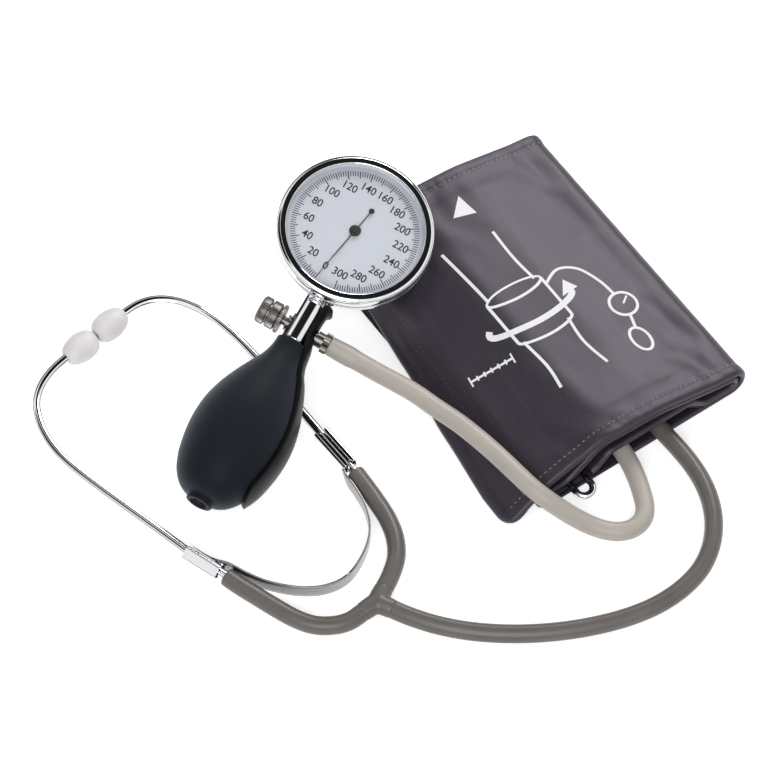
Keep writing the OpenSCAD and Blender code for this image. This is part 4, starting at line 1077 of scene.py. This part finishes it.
# %% [markdown]
# Both long edges and the free end are turned: the nylon rolls round the edge and comes back on
# the lining's side as a narrow hem. One number per row and per column says how far round the
# roll a point is, from 1 on the outside to -1 on the hem, and the lower of the two counts.

# %% Outer sheet with its turned hems
# Points of the turned hem: mm in from the edge, and how far round the roll
ROLL = [(5.2, -1.0), (3.6, -1.0), (2.0, -1.0), (1.0, -0.92), (0.3, -0.5), (0.0, 0.0), (0.3, 0.55),
        (1.0, 0.9)]
ROLL_RADIUS = 1.05
# How far from the edge the stitches run, and how much of the free end keeps its own spacing
HEM_LINE = 5.4
FLAP = 40


def flap_start(y):
    """Where the free end starts on the path: further in on the far side, with a round near corner."""
    x = np.interp(y, [-74, -56, -46, 39, 74], [-61.6, -61.3, -60.2, -50.2, -46.4])
    x = x - 0.35 * np.exp(-((y + 20) / 9) ** 2) + 0.3 * np.exp(-((y - 5) / 8) ** 2)
    corner = np.clip((-66 - y) / 8, 0, 1)
    rounding = 6.5 * (1 - np.sqrt(1 - 0.999 * corner**2))
    return outer.along_at_x(x) + rounding + np.where(x < -60, (x + 60) * 1.2, 0)


main_y = np.linspace(-72.6, 72.6, 126)
columns = [(-HALF_WIDTH + e, f) for e, f in ROLL]
columns += [(y, 1.0) for y in main_y]
columns += [(HALF_WIDTH - e, f) for e, f in ROLL[::-1]]
col_y, col_f = np.array(columns).T
row_steps = ROLL + [(e, 1.0) for e in np.linspace(1.8, outer.length - 1.8, 320)]


def hem_rise(edge_distance):
    """The turned hem is thicker than the cloth beside it, and the stitches pull it down."""
    d = np.asarray(edge_distance, float)
    ridge = np.clip((HEM_LINE + 0.5 - d) / 1.3, 0, 1) * np.clip(d / 1.2 + 0.3, 0, 1)
    return 0.42 * ridge - 0.34 * np.exp(-((d - HEM_LINE) / 0.5) ** 2)


def outer_grid():
    """The sheet's points, row by row. Past FLAP its rows close up, so that both ends are straight."""
    rows = []
    start = flap_start(col_y)
    closing = (outer.length - 0.5 - start - FLAP) / (outer.length - FLAP - 1.8)
    for e, f in row_steps:
        s = start + e if e < FLAP else start + (e - FLAP) * closing + FLAP
        both = np.minimum(f, col_f)
        edge = np.minimum(HALF_WIDTH - np.abs(col_y), min(e, FLAP))
        in_pocket = np.clip((s - 190) / 6, 0, 1) * np.clip((262 - s) / 6, 0, 1)
        roll = 1 - 0.75 * in_pocket * (col_f < 1)
        d = NYLON_AT - (1 - both) * ROLL_RADIUS * roll + np.where(both >= 0.9, hem_rise(edge), 0)
        rows.append(outer.at(s, col_y, d))
    return np.array(rows)


along = np.array([e for e, f in row_steps])
cover = put_grid("cuff_outside", mm(outer_grid()), grid_uv(mm(along)[:, None], mm(col_y)[None, :]), 0)
cover.data.flip_normals()
thicken(cover, mm(NYLON_THICK))
dress(cover, nylon, "set", ["cuff_cover", "front_hem", "back_hem"])
flat_length = float(outer.length - flap_start(0) + 10)
print("outer sheet:", len(cover.data.polygons), "faces,", round(flat_length), "mm long")

# %% [markdown]
# The lining is a second sheet. Its long edges end under the turned hems, and along the table it
# rises over the pocket that holds the chest piece. The outer sheet could simply be made thicker,
# but a lining with a path of its own leaves room for the bladder and for the pocket.

# %% Lining
LINING_HALF = 72.6
lining_y = np.linspace(-LINING_HALF, LINING_HALF, 90)
lining_from = flap_start(lining_y) + 1.2
lining_rows = []
for share in np.linspace(0, 1, 300):
    s = lining_from + share * (inner.length - 1.0 - lining_from)
    lining_rows.append(inner.at(s, lining_y, LINING_AT))
lining_uv = grid_uv(mm(np.linspace(0, inner.length, 300))[:, None], mm(lining_y)[None, :])
inside = put_grid("cuff_inside", mm(lining_rows), lining_uv, 0)
thicken(inside, mm(LINING_THICK))
dress(inside, lining, "set", ["cuff_lining"])

# %% [markdown]
# The rubber bladder lies between the two sheets and takes part in their folds, so it is drawn
# along the same path, from the top panel round the fold and back along the table. It never shows
# while the cuff is whole, but whoever hides the cloth should find it there.

# %% Bladder
turn_at = int(np.argmax(outer.centre[:, 0]))
back_at = turn_at + int(np.argmax(outer.centre[turn_at:, 0] < -17))
bladder_s = np.linspace(float(outer.along_at_x(-36)), outer.s[back_at], 150)
bladder_y = np.linspace(-48, 62, 60)
bladder_grid = outer.at(bladder_s[:, None], bladder_y[None, :], BLADDER_AT)
bladder = put_grid("bladder_skin", mm(bladder_grid), sharp=0)
thicken(bladder, 0.0008)
dress(bladder, film, "set", ["bladder"])

# %% [markdown]
# Stitches are what make cloth look sewn. Each is a short arched bit of thread that lies on the
# cloth, so they are built where the cloth is, one every two and a half millimetres: along both
# hems on both sides, and, in a darker thread, down the line that closes the bladder's pocket.

# %% Stitches
def stitch_row(into, sheet, s_line, y_line, side, pitch=2.5, length=1.7, thick=0.17):
    """Adds stitches to into, a pair of lists, on a sheet along a line of (s, y), at d = side."""
    verts, faces = into
    run = np.concatenate([[0], np.cumsum(np.hypot(np.diff(s_line), np.diff(y_line)))])
    ring = np.arange(6) * math.pi / 3
    for start in np.arange(1.0, run[-1] - length, pitch):
        t = start + np.linspace(0, length, 5)
        s, y = np.interp(t, run, s_line), np.interp(t, run, y_line)
        lift = np.array([-0.12, 0.1, 0.14, 0.1, -0.12])
        low = sheet.at(s, y, side)
        up = sheet.at(s, y, side + 0.3 * np.sign(side)) - low
        up /= np.linalg.norm(up, axis=1)[:, None]
        way = np.gradient(low, axis=0)
        way /= np.linalg.norm(way, axis=1)[:, None]
        cross = np.cross(way, up)
        size = thick * np.array([0.5, 1, 1, 1, 0.5])
        centre = low + up * lift[:, None]
        outward = np.cos(ring)[None, :, None] * cross[:, None] + np.sin(ring)[None, :, None] * up[:, None]
        rings = centre[:, None] + size[:, None, None] * outward
        first = len(verts)
        verts.extend(rings.reshape(-1, 3))
        faces.extend(grid_faces(5, 6, True, first).tolist())
        faces.append([first + k for k in range(5, -1, -1)])
        faces.append([first + 24 + k for k in range(6)])


on_nylon = NYLON_AT + NYLON_THICK / 2
on_hem_fold = NYLON_AT - 2 * ROLL_RADIUS - NYLON_THICK / 2
hem_seams, pocket_seam = ([], []), ([], [])
for y in (-HALF_WIDTH + HEM_LINE, HALF_WIDTH - HEM_LINE):
    from_s = float(flap_start(y)) + 3
    for sheet, s0, s1, count, side in ((outer, from_s, outer.length - 3, 400, on_nylon - 0.1),
                                       (inner, from_s, 180, 200, on_hem_fold),
                                       (inner, 270, inner.length - 3, 200, on_hem_fold)):
        stitch_row(hem_seams, sheet, np.linspace(s0, s1, count), np.full(count, y), side)
POCKET_SEAM = [(-48.5, -69), (-46.9, -32.6), (-42.2, 31.9), (-40.6, 69)]
pocket_y = np.linspace(69, -69, 100)
pocket_x = np.interp(pocket_y, [y for x, y in POCKET_SEAM], [x for x, y in POCKET_SEAM])
stitch_row(pocket_seam, outer, outer.along_at_x(pocket_x), pocket_y, on_nylon, 2.6, 1.7, 0.1)
for name, (verts, faces), colour in (("hem_stitches", hem_seams, thread),
                                     ("pocket_stitches", pocket_seam, dark_thread)):
    dress(put_mesh(name, mm(verts), faces, sharp=0), colour, "set")
    print(name, len(faces) // 26)

# %% [markdown]
# White print on the top panel. Real cuffs carry a wearing guide; here it is made of plain
# marks. Ink could be painted on with a mask, but a flat outline keeps a sharp edge at any
# distance, so each mark is laid on the cloth as a face, a hair above it, and cut into cells
# that follow the folds.

# %% Print on the cloth
print_verts, print_faces = [], []


def lay_print(outline, fill=1.2):
    """Lays a closed outline of (x, y) on the top panel, in small cells that follow the folds."""
    shape = bmesh.new()
    ring = [shape.verts.new((x, y, 0)) for x, y in outline]
    shape.faces.new(ring)
    low, high = np.min(outline, 0), np.max(outline, 0)
    for axis, normal in ((0, (1, 0, 0)), (1, (0, 1, 0))):
        for cut in np.arange(low[axis] + fill, high[axis], fill):
            place = (cut, 0, 0) if axis == 0 else (0, cut, 0)
            bmesh.ops.bisect_plane(shape, geom=shape.verts[:] + shape.edges[:] + shape.faces[:],
                                   plane_co=place, plane_no=normal)
    first = len(print_verts)
    shape.verts.index_update()
    flat = np.array([(v.co.x, v.co.y) for v in shape.verts])
    print_verts.extend(outer.at(outer.along_at_x(flat[:, 0]), flat[:, 1], on_nylon + 0.04))
    print_faces.extend([[first + v.index for v in f.verts] for f in shape.faces])
    shape.free()


def line_print(points, width):
    """A line of that width through the points, as one outline for each step."""
    p = np.array(points, float)
    way = np.gradient(p, axis=0)
    way /= np.linalg.norm(way, axis=1)[:, None]
    side = np.stack([-way[:, 1], way[:, 0]], 1) * width / 2
    for i in range(len(p) - 1):
        lay_print([p[i] - side[i], p[i + 1] - side[i + 1], p[i + 1] + side[i + 1], p[i] + side[i]], 50)


def ring_part(centre, rx, ry, start, end, steps=40):
    a = np.radians(np.linspace(start, end, steps))
    return [(centre[0] + rx * math.cos(t), centre[1] + ry * math.sin(t)) for t in a]


def smooth_print(points, width, step=1.6):
    """A line of that width along a soft curve through a few points."""
    curve = smooth_route([(x, y, 0) for x, y in points], 12)[:, :2]
    run = arc_lengths(curve)
    at = np.linspace(0, run[-1], max(3, int(run[-1] / step)))
    line_print(np.stack([np.interp(at, run, curve[:, i]) for i in (0, 1)], 1), width)


print("print helpers are ready")

# %% [markdown]
# The guide itself: a triangle for the artery, the two sides of an arm above and below a cuff,
# the cuff as a drum with two rims, an arrow that swings round it, a gauge and bulb on their hose,
# and a bar with ticks. Every line is a soft curve through two or three points.

# %% The wearing guide
LINE = 1.3
ARTERY_MARK = [(8.6, 60.2), (0.2, 52.0), (10.4, 49.4)]
ARM_SIDES = ([(-14, 40), (-12.5, 20), (-12, 9)], [(10.5, 38), (10, 22), (11, 9)],
             [(-11.6, -15), (-10.5, -30), (-12, -42)], [(11, -15), (9.5, -28), (11.5, -42)])
CUFF_SIDES = ([(-13.5, 8), (-13.5, -3), (-13.5, -14)], [(13.5, 8), (13.5, -3), (13.5, -14)])
GAUGE_HOSE = [(13.5, 4), (22, 8), (30, 4), (34, -6), (35, -14)]
GAUGE_MARK = (35.5, -20.5)
GAUGE_NEEDLE = [GAUGE_MARK, (37.5, -19), (39.2, -17.7)]
BULB_HOSE = [(34.5, -26.5), (33.5, -30), (32.5, -33)]
BULB_MARK = (31, -39)

lay_print(ARTERY_MARK)
for line in ARM_SIDES:
    smooth_print(line, LINE)
line_print(ring_part((0, 8), 13.5, 3.6, 180, 360, 24), LINE)
line_print(ring_part((0, 8), 13.5, 3.6, 0, 180, 24), 1.0)
line_print(ring_part((0, -14), 13.5, 3.6, 180, 360, 24), LINE)
for line in CUFF_SIDES:
    smooth_print(line, LINE)
swing = ring_part((0, -4), 20.5, 5.6, -200, 8, 50)
line_print(swing, 2.8)
tip = np.array(swing[-1])
lay_print([tip + (-4.6, -1.6), tip + (3.8, -0.4), tip + (0.4, 5.6)])
smooth_print(GAUGE_HOSE, LINE)
line_print(ring_part(GAUGE_MARK, 6, 6, 0, 360, 36), LINE)
smooth_print(GAUGE_NEEDLE, 0.8)
smooth_print(BULB_HOSE, LINE)
line_print(ring_part(BULB_MARK, 4.0, 6.2, 0, 360, 30), LINE)
bar_from, bar_to = np.array((-38.0, -15.0)), np.array((-19.0, -18.0))
smooth_print([bar_from, (bar_from + bar_to) / 2, bar_to], 1.0)
for share in np.linspace(0, 1, 7):
    at = bar_from + (bar_to - bar_from) * share
    size = 2.4 if share in (0, 1) else 1.2
    line_print([at - (0.15 * size, 0.99 * size), at, at + (0.15 * size, 0.99 * size)], 0.7)

print_points = mm(print_verts)
printed = put_mesh("cuff_print", print_points, print_faces, print_points[:, :2], 0)
dress(printed, print_white, "set")
print("print:", len(print_faces), "faces")

# %% [markdown]
# Hook tape sits under the free end and brushed loop tape on the layer below it. Each is a thin
# pad with soft edges whose face is roughened, because hooks and loops are too small to model
# one by one.

# %% Hook and loop tape
TAPE_HALF = 66
# The slope that the free end climbs, along X and Z in mm
FLAP_SLOPE = (19, 14.1)


def tape_pad(name, sheet, s0, s1, d0, d1, rough, seed):
    """A pad on the sheet from s0 to s1 that rises from d0 to d1, with a face as rough as given."""
    length = s1 - s0
    border = TAPE_HALF - np.array([0, 0.1, 0.6])
    across = np.concatenate([-border, np.linspace(-64.5, 64.5, 130), border[::-1]])
    steps = np.concatenate([[0, 0.05, 0.5], np.arange(1.2, length - 1.0, 1.0),
                            [length - 0.5, length - 0.05, length]])
    from_ends = np.minimum(steps, length - steps)
    edge = np.minimum(TAPE_HALF - np.abs(across)[None, :], from_ends[:, None])
    rise = np.clip(edge / 0.6, 0, 1) ** 0.5
    bumps = np.random.default_rng(seed).uniform(-rough, rough, rise.shape) * (edge > 0.6)
    points = sheet.at((s0 + steps)[:, None], across[None, :], d0 + (d1 - d0) * rise + bumps)
    return put_grid(name, mm(points), grid_uv(mm(steps)[:, None], mm(across)[None, :]), 0)


flap_length = float(np.hypot(*FLAP_SLOPE))
hooks = tape_pad("hook_face", outer, 0.22 * flap_length + 4.4, 0.86 * flap_length, -1.35, -2.35, 0.14, 11)
dress(hooks, hook_tape, "set", ["hook_patch"])
at_rise = outer.s[int(np.argmin(np.abs(outer.centre[:, 0] + 31) + np.abs(outer.centre[:, 1] - 8.5)))]
loops = tape_pad("loop_face", outer, at_rise + 4.6, at_rise + 17.5, 1.15, 2.0, 0.12, 12)
loops.data.flip_normals()
dress(loops, loop_tape, "set", ["loop_patch"])
print("tapes:", len(hooks.data.polygons), "and", len(loops.data.polygons), "faces")

# %% [markdown]
# The ring's bar is held by a strap of thick webbing that leaves the fold, goes round the bar and
# ends under its own start.

# %% Strap round the ring's bar
BAR = (-22.3, 5.15)
WRAP_RADIUS = 2.08
round_bar = [(BAR[0] + WRAP_RADIUS * math.cos(a), BAR[1] + WRAP_RADIUS * math.sin(a))
             for a in np.radians(range(62, 395, 12))]
wrap = [(-17.9, 6.25), (-19.2, 6.4), (-20.4, 6.75)] + round_bar
wrap_y = np.linspace(-68, 60, 65)
strap_grid = [[(x, y + 0.25 * math.sin(i * 1.7), z) for y in wrap_y] for i, (x, z) in enumerate(wrap)]
strap_uv = grid_uv(mm(arc_lengths(np.array(wrap)))[:, None], mm(wrap_y)[None, :])
strap = put_grid("ring_strap", mm(strap_grid), strap_uv, 0)
thicken(strap, 0.0008, 0.0002)
dress(strap, strap_cloth, "set", ["ring_loop"])
print("strap:", len(strap.data.polygons), "faces")

# %% [markdown]
# A studio for small shiny things: a pale floor and two broad lamps, one at the front left that
# gives the bulb and the tubes their soft highlights, and one behind on the right that lights
# the cuff's fold. The floor is plain white where the camera or a mirror sees it, and keeps the
# shadow.

# %% Floor and lamps
def area_lamp(name, place, watts, size):
    """A square lamp at place that looks at the middle of the set."""
    lamp = bpy.data.lights.new(name, "AREA")
    lamp.shape = "RECTANGLE"
    lamp.size = lamp.size_y = size
    lamp.energy = watts
    obj = bpy.data.objects.new(name, lamp)
    scene.collection.objects.link(obj)
    obj.location = place
    obj.rotation_mode = "QUATERNION"
    obj.rotation_quaternion = (Vector(place) - AIM).to_track_quat("Z", "Y")


area_lamp("front_left", (-0.78, -0.80, 0.95), 9.0, 0.9)
area_lamp("right_behind", (0.92, 0.60, 0.90), 10.0, 0.7)

floor_mesh = bpy.data.meshes.new("floor")
floor_mesh.from_pydata([(-6, -6, 0), (6, -6, 0), (6, 6, 0), (-6, 6, 0)], [], [(0, 1, 2, 3)])
floor = bpy.data.objects.new("floor", floor_mesh)
scene.collection.objects.link(floor)
floor.location.z = -0.0004
pale = bpy.data.materials.new("floor_paint")
pale.use_nodes = True
wiring = Wiring(pale.node_tree)
shader = pale.node_tree.nodes["Principled BSDF"]
shader.inputs["Base Color"].default_value = (0.86, 0.86, 0.86, 1)
shader.inputs["Roughness"].default_value = 0.9
shader.inputs["Specular IOR Level"].default_value = 0.1
light_path = wiring.node("LightPath")
seen = wiring.math("MAXIMUM", light_path.outputs["Is Camera Ray"], light_path.outputs["Is Glossy Ray"])
wiring.join((1, 1, 1, 1), shader.inputs["Emission Color"])
wiring.join(wiring.math("MULTIPLY", seen, 0.6), shader.inputs["Emission Strength"])
floor_mesh.materials.append(pale)

print("floor and lamps are set")

# %% [markdown]
# Chrome shows what is around it, and a white room alone leaves it flat. So the world is white to
# the camera but has dark cards where metal looks: one overhead, one to the left, one behind, and
# a tall one far off, above a dark horizon. They give chrome its black lines. Rays that come
# through the dial's window see no cards, because they would darken the enamel.

# %% World with dark cards
world = bpy.data.worlds.new("studio")
world.use_nodes = True
scene.world = world
wiring = Wiring(world.node_tree)
background = world.node_tree.nodes["Background"]
background.inputs["Color"].default_value = (1, 1, 1, 1)
look = wiring.node("TexCoord").outputs["Generated"]
height = wiring.node("SeparateXYZ", Vector=look).outputs[2]
DARKEST = 0.985
ROOM_LIGHT = 0.42


def facing(direction, low, high):
    """1 where the look is within a cone round that direction, 0 outside, soft between."""
    dot = wiring.node("VectorMath", operation="DOT_PRODUCT")
    wiring.join(look, dot.inputs[0])
    dot.inputs[1].default_value = Vector(direction).normalized()
    return wiring.spread(dot.outputs["Value"], low, high)


overhead_card = facing((0.29, -0.07, 0.95), 0.89, 0.94)
left_card = facing((-0.5, 0.42, 0.75), 0.915, 0.955)
back_card = facing((0.25, 0.42, 0.87), 0.95, 0.975)
far_card = wiring.math("MULTIPLY", facing((0.57, 0.82, 0.0), 0.5, 0.7), wiring.spread(height, 0.58, 0.50))
dark = wiring.spread(height, 0.26, 0.16)
for card in (overhead_card, left_card, back_card, far_card):
    dark = wiring.math("MAXIMUM", dark, card)
room = wiring.math("SUBTRACT", 1.0, wiring.math("MULTIPLY", dark, DARKEST))

light_path = wiring.node("LightPath")
not_through = wiring.math("SUBTRACT", 1.0, light_path.outputs["Is Transmission Ray"])
mirrored = wiring.math("MULTIPLY", light_path.outputs["Is Glossy Ray"], not_through)
level = wiring.node("Mix", data_type="FLOAT", Factor=mirrored)
level.inputs[2].default_value = 1.0
wiring.join(room, level.inputs[3])
clear = wiring.math("MAXIMUM", light_path.outputs["Is Camera Ray"], mirrored)
strength = wiring.math("ADD", ROOM_LIGHT, wiring.math("MULTIPLY", clear, 1.0 - ROOM_LIGHT))
wiring.join(wiring.math("MULTIPLY", strength, level.outputs[0]), background.inputs["Strength"])
scene.view_settings.view_transform = "Standard"
print("studio is lit")
